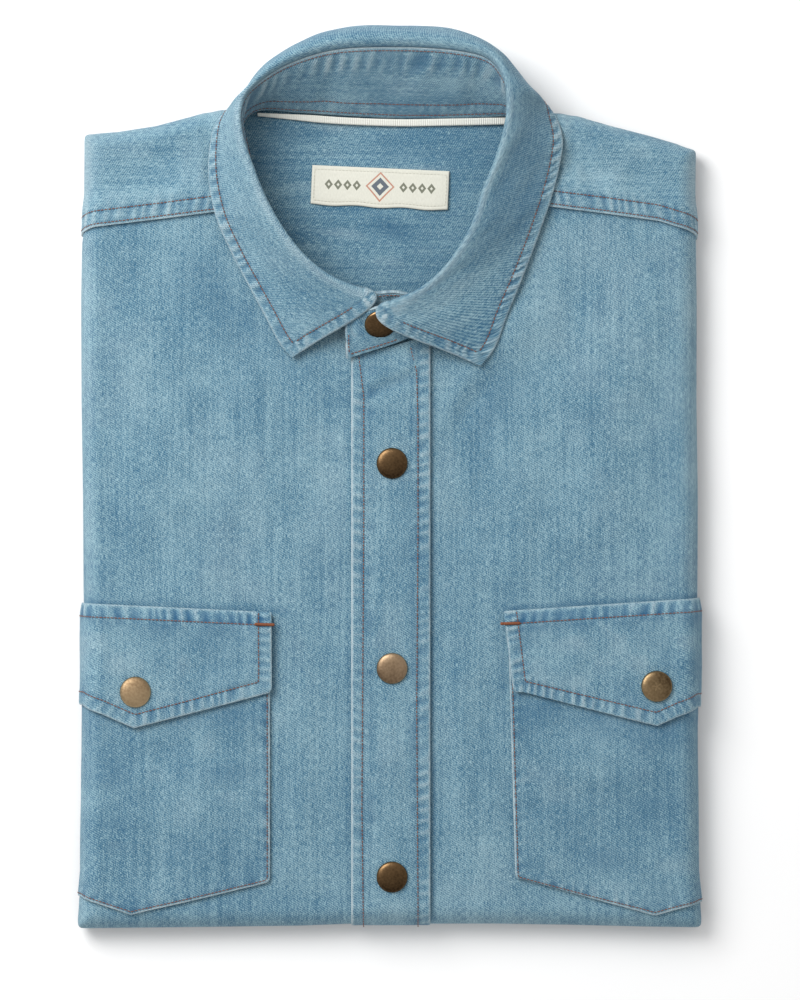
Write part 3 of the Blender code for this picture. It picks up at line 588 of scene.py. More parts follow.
for name, side, inner_x, seed in (
    ("front_right", -1.0, -right_high.x / MM, 2.0),
    ("front_left", 1.0, left_low.x / MM, 5.0),
):
    neck = NECK_RIGHT if side < 0 else NECK_LEFT
    yoke = YOKE_EDGE_RIGHT if side < 0 else YOKE_EDGE_LEFT
    reach = np.linspace(inner_x, flat_x + around, int((flat_x + around - inner_x) / FRONT_STEP))
    high = along(yoke, np.abs(reach)) + YOKE_LAP
    high = np.where(reach < neck[-1][0], np.minimum(high, along(neck, reach) - 1.0), high)
    share = np.linspace(0.0, 1.0, int(FRONT_LENGTH / FRONT_STEP))
    low = flat_y - around
    a = np.repeat(side * reach[:, None], len(share), axis=1)
    b = low + (high[:, None] - low) * share[None, :]
    under_yoke, _ = near_line(np.abs(a), b, yoke)
    # Painted shade on the front just under each yoke's lapped edge
    shade = -0.35 * np.exp(-((under_yoke / 1.4) ** 2))
    gathers = 0.16 * np.cos(a * 1.05 + 2.0 * patchy(a, b, 17.0, 8)) * np.exp(-((under_yoke / 7.0) ** 2))
    points = on_body(a, b, gathers)
    fold = np.maximum(np.abs(a) - flat_x, 0.0) / around
    wear = shade + 0.05 * patchy(a, b, 9.0, 9) + 0.06 * patchy(a, b * 0.5, 26.0, 10)
    wear = wear + 0.08 * np.exp(-(((fold - 0.45) / 0.3) ** 2))
    # Each strip paints shade, deepest on its line
    for x0, y0, x1, y1, half_width, depth in PAINTED_SHADE_STRIPS:
        off, _ = near_line(a, b, ((x0, y0), (x1, y1)))
        uneven = 1.0 + 0.45 * patchy(a, b, 6.0 + half_width, 11)
        wear = wear - depth * uneven * np.exp(-((off / half_width) ** 2))
    flat = np.stack((a, b), axis=-1)
    panel = cloth(name, points, flat, wear, DENIM_WALL, denim(name + "_denim", seed))

# ---------------------------------------------------------------------------------------------
# Topstitching: rust-brown core-spun thread, lockstitched. Each stitch is a short bead that sinks
# into the cloth between two needle holes, and a bar tack is a row of stitches laid close together.
THREAD_RADIUS = 0.27
STITCH_LENGTH = 1.6
STITCH_PITCH = 1.8
TACK_RADIUS, TACK_LENGTH, TACK_PITCH = 0.85, 1.5, 0.55

thread = Shader("rust_thread", 0.75)
thread_place = thread.node("ShaderNodeTexCoord", out=3)
thread_shade = thread.grain(thread_place, (3.0 * MM, 3.0 * MM), 2.0, 3.0)
thread.paint(thread.mix(thread_shade, (0.11, 0.042, 0.030), (0.27, 0.115, 0.078)))
tack_thread = Shader("bar_tack_thread", 0.7)
tack_place = tack_thread.node("ShaderNodeTexCoord", out=3)
tack_shade = tack_thread.grain(tack_place, (0.5 * MM, 2.5 * MM), 2.0, 5.0)
tack_thread.paint(
    tack_thread.mix(tack_shade, (0.085, 0.024, 0.008), (0.31, 0.090, 0.026)), None, tack_shade, 0.0003
)


def bead(mesh, start, end, up, radius):
    """One rounded stitch from start to end in millimetres, with up away from the cloth."""
    run = end - start
    up = up - run * (up @ run) / (run @ run)
    up = up / np.linalg.norm(up)
    wide = np.cross(up, run / np.linalg.norm(run))
    place = (start + end) / 2.0
    columns = (wide * radius, up * radius * 0.8, run / 2.0, place)
    matrix = Matrix([[column[k] * MM for column in columns] for k in range(3)] + [[0, 0, 0, 1]])
    bmesh.ops.create_uvsphere(mesh, u_segments=6, v_segments=4, radius=1.0, matrix=matrix)


def sew(name, lines, surface, radius=THREAD_RADIUS, length=STITCH_LENGTH, pitch=STITCH_PITCH,
        material=None):
    """Stitches along lines of (p, q) places, which surface turns into places on the cloth."""
    mesh = bmesh.new()
    for line in lines:
        line = np.array(line, float)
        corners = np.arange(len(line))
        fine = np.linspace(0, len(line) - 1, max(40 * (len(line) - 1), 2) + 1)
        p, q = np.interp(fine, corners, line[:, 0]), np.interp(fine, corners, line[:, 1])
        run = np.concatenate(([0.0], np.linalg.norm(np.diff(surface(p, q), axis=0), axis=1).cumsum()))
        starts = np.arange(0.2, run[-1] - length, pitch)
        p0, q0 = np.interp(starts, run, p), np.interp(starts, run, q)
        p1, q1 = np.interp(starts + length, run, p), np.interp(starts + length, run, q)
        begin, finish = surface(p0, q0), surface(p1, q1)
        away = np.cross(surface(p0 + 0.3, q0) - begin, surface(p0, q0 + 0.3) - begin)
        for k in range(len(starts)):
            bead(mesh, begin[k], finish[k], away[k] / np.linalg.norm(away[k]), radius)
    return finished(name, mesh, material or thread.material, "topstitch")


def inset_line(line, by):
    """A line through corners moved sideways, to its right when by is over 0."""
    line = np.array(line, float)
    run = np.diff(line, axis=0)
    side = np.stack((run[:, 1], -run[:, 0]), axis=1) / np.linalg.norm(run, axis=1)[:, None]
    before, after = np.vstack((side[:1], side)), np.vstack((side, side[-1:]))
    return line + (before + after) / (1.0 + (before * after).sum(axis=1))[:, None] * by


# ---------------------------------------------------------------------------------------------
# Yokes: the shoulder stretches of the back yoke, brought to the front. Each lower edge is turned
# in, laid over its front and sewn down twice, so the band between the two rows draws up in ridges.
GAP = 0.45
LAPPED_OUT = GAP + DENIM_WALL + 0.2
YOKE_ROWS = (1.5, 7.7)
YOKE_HEIGHT = 46.0
YOKE_LEVEL_Y = 118.0
YOKE_NECK_RIGHT = (*NECK_RIGHT[4:], (72.0, 169.5))
YOKE_NECK_LEFT = (*NECK_LEFT[3:], (60.0, 168.5))
STITCHED_TO_RIGHT, STITCHED_TO_LEFT = 66.0, 58.0
top_turn = SHOULDER_ROUND * math.radians(TURN_UNDER)


def yoke_out(a, b, edge):
    """How far a yoke's face stands off the fronts: high on its lap, falling to lie level."""
    past = b - along(edge, np.abs(a)) - YOKE_LAP
    return LAPPED_OUT - LAPPED_OUT * smooth(past / 12.0)


for name, side, seed in (("yoke_right", -1.0, 21.0), ("yoke_left", 1.0, 24.0)):
    edge = YOKE_EDGE_RIGHT if side < 0 else YOKE_EDGE_LEFT
    shoulder = SHOULDER_RIGHT if side < 0 else SHOULDER_LEFT
    neck = [(y, x) for x, y in (YOKE_NECK_RIGHT if side < 0 else YOKE_NECK_LEFT)]
    up = spaced(0.0, YOKE_HEIGHT, 1.15) / YOKE_HEIGHT
    up = np.concatenate((up, 1.0 + np.linspace(0.0, 1.0, 14)[1:]))
    outer = np.linspace(flat_x + around, flat_x, 18)
    inward = np.linspace(0.0, 1.0, 78)[1:]
    inner_x = along(neck, YOKE_LEVEL_Y + YOKE_HEIGHT * np.minimum(up, 1.0)) + 3.4
    reach = np.concatenate((
        np.repeat(outer[:, None], len(up), axis=1),
        flat_x + (inner_x[None, :] - flat_x) * inward[:, None],
    ))
    low = along(edge, reach)
    high = along(shoulder, np.minimum(reach, HALF_WIDTH)) - SHOULDER_ROUND
    a = side * reach
    b = low + (high - low) * np.minimum(up, 1.0)[None, :]
    b = b + top_turn * np.maximum(up - 1.0, 0.0)[None, :]
    distance = b - low
    height, wear = seam(distance, reach, YOKE_ROWS, (1.2, 8.6), seed, 5.2)
    folds_at_neck = 0.35 * np.cos(reach * 0.75 + 1.5 * patchy(reach, b, 14.0, 25))
    folds_at_neck = folds_at_neck * np.exp(-(((reach - 70.0) / 22.0) ** 2))
    folds_at_neck = folds_at_neck * smooth((distance - 8.0) / 10.0)
    points = on_body(a, b, yoke_out(a, b, edge) + height + folds_at_neck)
    # Paler over the neck folds' ridges as wear, darker in their troughs partly as unrubbed blue and
    # partly as painted shade
    wear = wear + 0.10 * patchy(a, b, 12.0, 26) + 0.25 * folds_at_neck
    wear = wear + 0.22 * np.exp(-(((reach - HALF_WIDTH) / 4.0) ** 2))
    flat = np.stack((a, b), axis=-1)
    panel = cloth(name, points, flat, wear, DENIM_WALL, denim(name + "_denim", seed, 0.10, True))
    places = np.linspace(flat_x + around * 0.8, STITCHED_TO_RIGHT if side < 0 else STITCHED_TO_LEFT, 30)
    rows = [np.stack((side * places, along(edge, places) + off), axis=1) for off in YOKE_ROWS]
    stitches = sew(name + "_stitches", rows, lambda p, q, e=edge: on_body(p, q, yoke_out(p, q, e) + 0.08))

# ---------------------------------------------------------------------------------------------
# Yoke inside: the inner face of the back yoke, seen through the neck opening. Its warp runs across
# the shoulders, so its grain is level.
FLOOR_Z = 10.0
WELL_X, WELL_Y = -7.5, 124.0
WELL_HALF_X, WELL_HALF_Y = 66.12, 55.44
TAPE_RUN = ((-64.0, 174.6), (-45.0, 173.2), (-22.0, 171.5), (4.0, 170.6), (28.0, 170.9), (56.4, 171.5))
TAPE_WIDTH = 3.0
UNDER_STAND = 3.0

u, v = np.meshgrid(np.linspace(-1.0, 1.0, 96), np.linspace(-1.0, 1.0, 84), indexing="ij")
x = WELL_X + WELL_HALF_X * u * np.sqrt(1.0 - np.where(v < 0, 0.5, 0.1) * v * v)
y = WELL_Y + WELL_HALF_Y * v * np.sqrt(1.0 - np.where(v < 0, 0.5, 0.0) * u * u)
seam_y = along(TAPE_RUN, x)
y = np.minimum(y, seam_y + UNDER_STAND) + 0.4 * v
under_label = np.exp(-(((x + 5.0) / 38.0) ** 4) - ((y - 139.0) / 13.0) ** 4)
rolling = 0.5 * patchy(x, y, 26.0, 51) + 0.3 * patchy(x, y * 2.0, 17.0, 52)
sag = -0.5 * np.exp(-(((x - 4.0) / 16.0) ** 2) - ((y - 115.0) / 7.0) ** 2)
sag = sag - 0.9 * smooth((y - seam_y + 1.5) / 2.0)
points = np.stack((x, y, FLOOR_Z + (rolling + sag - 0.2) * (1.0 - under_label)), axis=-1)
wear = -0.02 + 0.14 * patchy(x * 0.6, y * 1.8, 14.0, 53) + 0.10 * patchy(x * 0.15, y, 2.2, 54)
# Painted shade in a slanted patch below the label and in the well's left corner beside the stand
wear = wear - 0.34 * np.exp(-(((x + 1.0 + 0.8 * (y - 121.0)) / 6.0) ** 2) - ((y - 121.0) / 6.5) ** 2)
wear = wear - 0.22 * np.exp(-(((x + 62.0) / 12.0) ** 2) - ((y - 158.0) / 12.0) ** 2)
flat = np.stack((x, y), axis=-1)
inner_denim = denim("inner_denim", 61.0, -0.14, True)
inside = cloth("yoke_inside", points, flat, wear, DENIM_WALL, inner_denim)

# ---------------------------------------------------------------------------------------------
# Placket: a strip folded double down the right front's edge, sewn 6 mm inside each side, so both
# of its edges draw up in small ridges.
placket_low, placket_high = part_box("placket")
PLACKET_LEFT, PLACKET_RIGHT = placket_low.x / MM, placket_high.x / MM
PLACKET_OUT = GAP + 2.2
PLACKET_WALL = 2.0
PLACKET_LENGTH = 290.0
PLACKET_TOP_Y, PLACKET_TOP_SLOPE = 57.0, 0.28
PLACKET_CREASES = (
    (-16.0, 37.0, 18.0, 50.5, 3.4, -1.1),
    (-15.0, 44.0, 17.0, 56.5, 3.6, 0.5),
    (-8.0, -50.0, 6.0, -70.0, 4.0, 0.3),
    (-9.0, -140.0, 9.0, -128.0, 4.0, 0.25),
)
PLACKET_ROWS = (
    ((-15.2, 57.5), (-12.8, 38.0), (-12.8, -20.0), (-13.4, -110.0), (-13.7, -160.0), (-12.9, -221.0)),
    ((9.6, 62.0), (12.6, 50.0), (13.2, 25.0), (13.2, -25.0), (12.6, -110.0), (13.3, -221.0)),
)

across = spaced(PLACKET_LEFT, PLACKET_RIGHT, 0.95)
high = PLACKET_TOP_Y + PLACKET_TOP_SLOPE * (across - PLACKET_LEFT)
share = spaced(0.0, PLACKET_LENGTH, 1.3) / PLACKET_LENGTH
a = np.repeat(across[:, None], len(share), axis=1)
low = flat_y - around
b = low + (high[:, None] - low) * share[None, :]
left_height, left_wear_and_shade = seam(a - PLACKET_LEFT, b, (5.8,), (0.8, 5.8), 71, 5.8, 0.75, 0.62)
right_height, right_wear_and_shade = seam(PLACKET_RIGHT - a, b, (6.0,), (0.8, 6.0), 74, 5.8, 0.5, 0.7)
puff = 0.25 * np.exp(-(((a - 0.3) / 9.0) ** 4)) * (1.0 + patchy(a, b, 18.0, 77))
puff = puff + creases(a, b, PLACKET_CREASES)
turned = smooth((BOTTOM_Y + SIDE_ROUND + 2.0 - b) / 10.0)
points = on_body(a, b, (PLACKET_OUT + left_height + right_height + puff) * (1.0 - 0.5 * turned))
spots = np.exp(-(((a - PLACKET_LEFT - 9.5) / 2.6) ** 2))
spots = spots + np.exp(-(((PLACKET_RIGHT - a - 8.0) / 2.0) ** 2))
spots = -0.42 * spots * np.maximum(patchy(a * 0.6, b, 5.0, 79) + 0.1, 0.0)
edge_light = 0.12 * np.exp(-(((a - PLACKET_LEFT) / 1.2) ** 2))
wear = left_wear_and_shade + right_wear_and_shade + edge_light + spots
# Painted shade in the troughs of the placket's creases
wear = wear + 0.10 * patchy(a, b, 13.0, 78) + 0.28 * np.minimum(puff, 0.0)
flat = np.stack((a, b), axis=-1)
strip = cloth("placket", points, flat, wear, PLACKET_WALL, denim("placket_denim", 81.0))
stitches = sew("placket_stitches", PLACKET_ROWS, lambda p, q: on_body(p, q, PLACKET_OUT + 0.1))

# ---------------------------------------------------------------------------------------------
# Pockets: pointed patch pockets, edge-stitched, their outer parts taken round behind by the side
# folds. Each mouth is under a flap.
POCKET_ROW = 1.35
POCKET_COLUMNS = ("inner_x", "top_y", "corner_x", "corner_y", "point_x", "point_y", "outer_y")
POCKETS = (
    ("pocket_right", -1.0, (57.8, -74.0, 57.8, -194.9, 122.3, -210.4, -202.0)),
    ("pocket_left", 1.0, (56.5, -74.0, 60.0, -193.4, 125.0, -210.6, -205.0)),
)
POCKET_DEEP = 130.0
BEHIND_FOLD = 16.0


def pointed(shape, top_line, steps, length):
    """A grid of places over a patch whose foot is pointed, and the outline from its inner top."""
    foot = ((shape["corner_x"], shape["corner_y"]), (shape["point_x"], shape["point_y"]),
            (HALF_WIDTH, shape["outer_y"]), (HALF_WIDTH + BEHIND_FOLD, shape["outer_y"]))
    reach = spaced(shape["inner_x"], flat_x + around, steps[0])
    share = spaced(0.0, length, steps[1]) / length
    high, low = along(top_line, reach), along(foot, reach)
    near = smooth((shape["point_x"] - reach) / (shape["point_x"] - shape["inner_x"]))
    slant = (shape["corner_x"] - shape["inner_x"]) * near
    r = reach[:, None] + slant[:, None] * share[None, :]
    b = high[:, None] + (low - high)[:, None] * share[None, :]
    return r, b, (top_line[0], *foot)


for name, side, row in POCKETS:
    shape = dict(zip(POCKET_COLUMNS, row))
    seed = 91.0 + side
    mouth = ((shape["inner_x"], shape["top_y"]), (HALF_WIDTH, shape["top_y"]))
    r, b, sewn = pointed(shape, mouth, (1.2, 1.2), POCKET_DEEP)
    distance, run = near_line(r, b, sewn)
    from_side, _ = near_line(r, b, sewn[:2])
    from_foot, _ = near_line(r, b, sewn[1:3])
    r, b = np.moveaxis(rounded(np.stack((r, b), axis=-1), from_side, from_foot, 2.0), -1, 0)
    height, wear = seam(distance, run, (POCKET_ROW,), (0.5, 3.4), seed, 7.0, 0.72, 0.8)
    slack = 0.45 * patchy(r, b, 30.0, seed) + 0.2 * patchy(r, b, 12.0, seed + 4)
    slack = slack * smooth(distance / 12.0)
    points = on_body(side * r, b, LAPPED_OUT + height + slack)
    wear = wear - 0.03 + 0.12 * patchy(r, b, 11.0, seed + 5)
    wear = wear - 0.22 * np.maximum(patchy(r * 0.5, b, 13.0, seed + 6), 0.0) * smooth(distance / 6.0)
    # Painted shadow of the flap, in a band just below its lower edge
    wear = wear - 0.22 * np.exp(-(((b + 112.0) / 9.0) ** 2)) * smooth((r - 50.0) / 30.0)
    flat = np.stack((side * r, b), axis=-1)
    patch = cloth(name, points, flat, wear, DENIM_WALL, denim(name + "_denim", seed, -0.06))
    rows = inset_line(sewn, -POCKET_ROW) * (side, 1.0)
    stitches = sew(name + "_stitches", (rows,), lambda p, q: on_body(p, q, LAPPED_OUT + 0.05))

# ---------------------------------------------------------------------------------------------
# Flaps: double denim, sewn down along the top with a bar tack at the inner corner, and topstitched
# 6 mm inside the edge, where the band between draws up in ridges.
FLAP_ROW = 6.3
FLAP_RISE = 7.0
FLAP_DEEP = 50.0
TACK_OUT = GAP + 4.35
FLAP_COLUMNS = (
    "inner_x", "inner_y", "outer_top_y", "corner_x", "corner_y", "point_x", "point_y", "outer_y"
)
FLAPS = (
    ("flap_right", -1.0, (57.0, -65.3, -61.0, 56.8, -103.6, 122.3, -121.0, -110.0)),
    ("flap_left", 1.0, (54.2, -64.8, -58.6, 59.0, -103.6, 127.8, -119.9, -111.0)),
)

for name, side, row in FLAPS:
    shape = dict(zip(FLAP_COLUMNS, row))
    seed = 121.0 + side * 3.0
    top_line = ((shape["inner_x"], shape["inner_y"]), (HALF_WIDTH, shape["outer_top_y"]),
                (HALF_WIDTH + BEHIND_FOLD, shape["outer_top_y"]))
    r, b, free = pointed(shape, top_line, (1.0, 0.95), FLAP_DEEP)

    def flap_out(p, q, top=top_line):
        climb = smooth((along(top, np.abs(p)) - q) / FLAP_RISE)
        return GAP + (1.6 + GAP) * climb + DOUBLE_WALL + 0.1

    below_top, top_run = near_line(r, b, top_line)
    below_top = below_top * np.where(b > along(top_line, r), -1.0, 1.0)
    from_edge, edge_run = near_line(r, b, free)
    from_side, _ = near_line(r, b, free[:2])
    from_foot, _ = near_line(r, b, free[1:3])
    places = rounded(np.stack((r, b), axis=-1), from_side, from_foot, 2.2)
    r, b = np.moveaxis(rounded(places, from_side, np.abs(below_top), 1.2), -1, 0)
    top_height, top_wear_and_shade = seam(below_top, top_run, (FLAP_ROW,), (0.9, 6.3), seed, 5.8, 0.35, 1.25)
    height, wear = seam(from_edge, edge_run, (FLAP_ROW,), (0.7, 6.3), seed + 3, 5.0, 0.45, 1.0)
    shared = smooth((from_edge - 2.0) / 5.0)
    height = height + top_height * (0.3 + 0.7 * shared)
    wear = wear + top_wear_and_shade * (0.3 + 0.7 * shared)
    inside_band = smooth((below_top - 6.5) / 2.0) * smooth((from_edge - 6.0) / 2.0)
    slack = (0.55 * patchy(r, b, 19.0, seed + 5) + 0.2 * patchy(r, b, 9.0, seed + 6)) * inside_band
    # Painted shade in a band just below the top row of stitches
    shade = -0.28 * np.exp(-(((below_top - 8.5) / 4.5) ** 2))
    shade = shade * (0.6 + 0.8 * patchy(r, b, 8.0, seed + 7))
    toward_corner = smooth((shape["point_x"] - r) / 60.0)
    # Darker just under the top rim, the more toward the inner corner
    under_rim = smooth((below_top - 1.0) / 1.5) * smooth((7.5 - below_top) / 1.5)
    wear = wear - (0.10 + 0.22 * toward_corner) * under_rim
    wear = wear + (shade + 0.16 * patchy(r, b, 10.0, seed + 8)) * inside_band
    a = side * r
    points = on_body(a, b, flap_out(a, b) + height + slack)
    flat = np.stack((a, b), axis=-1)
    flap = cloth(name, points, flat, wear, DOUBLE_WALL, denim(name + "_denim", seed, 0.02))
    free_row = inset_line(free, -FLAP_ROW)
    free_row[0] = (free_row[0][0], along(top_line, free_row[0][0]) - 0.4)
    top_row = np.array(top_line) - (0.0, FLAP_ROW)
    rows = [line * (side, 1.0) for line in (free_row, top_row)]
    stitches = sew(name + "_stitches", rows, lambda p, q: on_body(p, q, flap_out(p, q) + 0.08))
    tack_y = along(top_line, shape["inner_x"]) - FLAP_ROW + 0.3
    tack = np.array(((shape["inner_x"] - 1.8, tack_y), (shape["inner_x"] + 8.2, tack_y + 0.3)))
    bar = sew(name + "_bar_tack", (tack * (side, 1.0),), lambda p, q: on_body(p, q, TACK_OUT),
              TACK_RADIUS, TACK_LENGTH, TACK_PITCH, tack_thread.material)

# ---------------------------------------------------------------------------------------------
# Collar stand: the upright band round the neck, open at the front, where its ends lap and close
# with a snap. Each row gives the neck seam, the stand's top and the leaf's outer edge.
COLLAR_COLUMNS = ("neck_x", "neck_y", "neck_z", "top_x", "top_y", "top_z", "edge_x", "edge_y",
                  "edge_z", "bow", "rise")
UNDERLAP = ((12.0, 68.0, 19.6, 11.0, 86.5, 26.0), (1.0, 67.5, 19.6, 2.0, 88.5, 26.8))
OVERLAP = ((-12.6, 59.0, 22.6, -13.5, 79.2, 28.6), (-21.0, 56.4, 22.4, -21.6, 75.6, 26.6))
LEAF = (
    (-9.0, 67.5, 19.5, -8.5, 88.0, 28.4, -47.0, 56.6, 20.8, 15.0, 3.0),
    (-20.0, 70.5, 19.4, -19.0, 90.6, 30.4, -53.0, 64.0, 20.6, 7.0, 1.5),
    (-32.0, 79.5, 19.4, -30.5, 95.6, 32.5, -60.2, 77.5, 20.6, 2.0, 0.0),
    (-43.0, 92.0, 19.4, -41.5, 104.5, 34.0, -68.5, 93.0, 20.6, 0.0, 0.0),
    (-52.0, 108.0, 19.6, -51.0, 116.5, 35.5, -75.8, 107.0, 20.8, 0.0, 0.0),
    (-60.0, 126.0, 21.0, -59.5, 131.5, 36.5, -83.2, 124.0, 22.0, 0.0, 0.0),
    (-66.0, 145.0, 20.2, -66.3, 148.5, 37.5, -86.8, 142.0, 21.6, 0.0, 0.0),
    (-69.5, 160.0, 19.4, -70.8, 163.0, 38.0, -86.2, 158.5, 20.8, 0.0, 0.0),
    (-71.0, 169.5, 17.8, -71.3, 175.2, 38.0, -82.4, 171.0, 18.4, 0.0, 0.0),
    (-63.0, 176.2, 13.4, -65.6, 185.4, 37.5, -71.0, 180.0, 6.5, 0.0, 0.0),
    (-45.0, 175.4, 11.8, -49.0, 196.4, 36.5, -56.6, 196.6, 3.0, 0.0, 0.0),
    (-22.0, 173.9, 11.4, -26.0, 203.4, 36.0, -27.5, 210.0, 2.4, 0.0, 0.0),
    (4.0, 172.6, 11.2, 4.0, 204.7, 35.5, 6.0, 212.6, 2.2, 0.0, 0.0),
    (28.0, 172.7, 11.4, 29.0, 203.3, 36.0, 31.0, 210.4, 2.4, 0.0, 0.0),
    (46.0, 173.2, 12.0, 46.2, 199.2, 36.5, 51.6, 200.4, 3.0, 0.0, 0.0),
    (57.5, 173.2, 14.2, 54.2, 189.4, 37.5, 65.0, 186.0, 5.0, 0.0, 0.0),
    (60.0, 168.5, 17.6, 56.2, 177.6, 38.0, 77.4, 175.2, 15.0, 0.0, 0.0),
    (58.5, 158.0, 19.4, 55.0, 166.0, 38.0, 82.2, 162.0, 21.0, 0.0, 0.0),
    (55.0, 142.0, 20.8, 50.5, 150.0, 37.0, 80.6, 148.0, 21.6, 0.0, 0.0),
    (50.5, 126.0, 21.2, 44.6, 135.0, 35.5, 77.0, 134.0, 22.0, 0.0, 0.0),
    (44.0, 110.0, 19.8, 39.6, 119.5, 34.5, 71.8, 118.5, 20.8, 0.0, 0.0),
    (36.0, 94.5, 19.4, 32.0, 106.0, 33.5, 67.0, 105.5, 20.6, 0.0, 0.0),
    (27.5, 82.0, 19.6, 23.4, 95.4, 32.5, 62.4, 93.5, 20.6, 0.0, 0.0),
    (17.5, 71.5, 21.6, 14.0, 88.4, 32.0, 56.2, 78.5, 20.6, 3.0, 1.0),
    (6.0, 65.4, 22.6, 3.8, 84.2, 31.6, 50.2, 62.5, 20.8, 10.0, 4.0),
    (-4.0, 61.8, 22.6, -5.0, 81.2, 30.8, 43.0, 52.5, 21.0, 19.0, 6.0),
)
STAND_WALL = LEAF_WALL = 1.7
STAND_ROWS = (2.0, 8.0)
STAND_TOP_ROW = 1.9
STAND_STEPS = 16


def through(rows, steps):
    """A smooth run through table rows, with that many steps from each row to the next."""
    rows = np.array(rows, float)
    before = np.vstack((2 * rows[0] - rows[1], rows[:-1]))
    after = np.vstack((rows[1:], 2 * rows[-1] - rows[-2]))
    slope = (after - before) / 2
    run = []
    for k in range(len(rows) - 1):
        for t in np.arange(steps) / steps:
            start, end = rows[k], rows[k + 1]
            hermite = (2 * t**3 - 3 * t**2 + 1) * start + (t**3 - 2 * t**2 + t) * slope[k]
            run.append(hermite + (3 * t**2 - 2 * t**3) * end + (t**3 - t**2) * slope[k + 1])
    return np.array(run + [rows[-1]])


def facing(points):
    """Unit normals of a grid of places, on the side its rows and columns turn to."""
    normal = np.cross(np.gradient(points, axis=0), np.gradient(points, axis=1))
    return normal / np.linalg.norm(normal, axis=2, keepdims=True)


def run_of(points, axis):
    """Distance along a grid of places from its first row or column."""
    steps = np.linalg.norm(np.diff(points, axis=axis), axis=2)
    return np.concatenate((np.zeros_like(steps.take([0], axis)), steps.cumsum(axis)), axis=axis)


def grid_surface(points, out):
    """A function from row and column, whole or between, to places that far out from a grid."""
    raised = points + facing(points) * out

    def surface(p, q):
        p, q = np.clip(p, 0, raised.shape[0] - 1.001), np.clip(q, 0, raised.shape[1] - 1.001)
        i, j = p.astype(int), q.astype(int)
        s, t = (p - i)[:, None], (q - j)[:, None]
        near = raised[i, j] * (1 - s) + raised[i + 1, j] * s
        return near * (1 - t) + (raised[i, j + 1] * (1 - s) + raised[i + 1, j + 1] * s) * t

    return surface


collar_rows = UNDERLAP + LEAF + OVERLAP
seam_run = through([row[0:3] for row in collar_rows], STAND_STEPS)
stand_top = through([row[3:6] for row in collar_rows], STAND_STEPS)
share = spaced(0.0, 34.0, 1.1, (0.0, 0.4, 0.9)) / 34.0
points = seam_run[:, None] + (stand_top - seam_run)[:, None] * share[None, :, None]
run, rise = run_of(points, 0), run_of(points, 1)
drop = rise[:, -1:] - rise
end_near = np.minimum(run, run[-1:] - run)
behind = smooth((points[:, :1, 1] - 150.0) / 20.0)
top_height, top_wear_and_shade = seam(drop, run, (STAND_TOP_ROW,), (2.4, 12.0), 140, 7.0, 0.95, 1.0)
low_height, low_wear_and_shade = seam(rise, run, STAND_ROWS, (2.0, 8.0), 143, 5.0, 0.1, 0.5)
end_height, end_wear_and_shade = seam(end_near, rise, (1.6,), (0.5, 2.4), 146, 6.0, 0.55, 0.5)
height = top_height * 1.3 + low_height * behind + end_height
wear = top_wear_and_shade * (0.55 + 0.45 * behind) + low_wear_and_shade * behind + end_wear_and_shade
wear = np.maximum(wear - 0.02 + 0.13 * patchy(run, rise * 2.0, 16.0, 147), -0.42)
ripples = 0.5 * patchy(run, rise * 0.4, 9.0, 148) * smooth(drop / 5.0) * smooth(rise / 9.0)
points = points + facing(points) * (height + ripples)[..., None]
flat = np.stack((run, rise), axis=-1)
stand_denim = denim("stand_denim", 151.0, 0.0, True)
stand = cloth("collar_stand", points, flat, wear, STAND_WALL, stand_denim, wall_side=0.0)


def stand_row(first, last, distance, from_top=False):
    """A line along the stand, that far up from its seam or down from its top."""
    rows_at = np.arange(first, last, 3)
    level = drop if from_top else rise
    columns = []
    for i in rows_at:
        order = np.argsort(level[i])
        columns.append(np.interp(distance, level[i][order], np.arange(len(share))[order]))
    return np.stack((rows_at, columns), axis=1)


stand_face = grid_surface(points, STAND_WALL / 2.0 + 0.1)
last = len(points) - 1
stitches = sew(
    "collar_stand_stitches",
    (
        stand_row(36, last - 36, STAND_TOP_ROW, True),
        stand_row(120, last - 130, STAND_ROWS[0]),
        stand_row(120, last - 130, STAND_ROWS[1]),
    ),
    stand_face,
)
band_side = np.stack((np.full(8, last - 2.6), np.linspace(5.0, len(share) * 0.62, 8)), axis=1)
band_stitches = sew(
    "collar_band_stitches",
    (stand_row(last - 44, last, 1.7), band_side, stand_row(2, 40, 1.8, True)),
    grid_surface(points, -STAND_WALL / 2.0 - 0.15),
    0.3,
)

# ---------------------------------------------------------------------------------------------
# Collar leaf: double denim sewn to the top of the stand, rolled over it and pressed down. It is
# topstitched 5 mm inside its edge, and its two points lie on the fronts.
LEAF_GAP = 0.5
LEAF_STEPS = 22
ROLL_LENGTH, ROLL_RISE, ROLL_PER_DROP = 3.4, 1.4, 0.1
LYING_RISE, LYING_SHARE = 3.5, 0.4
BACK_BULGE, BACK_SHARE = 7.0, 0.75
LEAF_ROW = 5.3
EDGE_SPACES = (0.0, 0.3, 0.7, 1.3, 2.0, 2.8, 3.6, 4.4, 5.0, 5.6, 6.3, 7.2, 8.2)

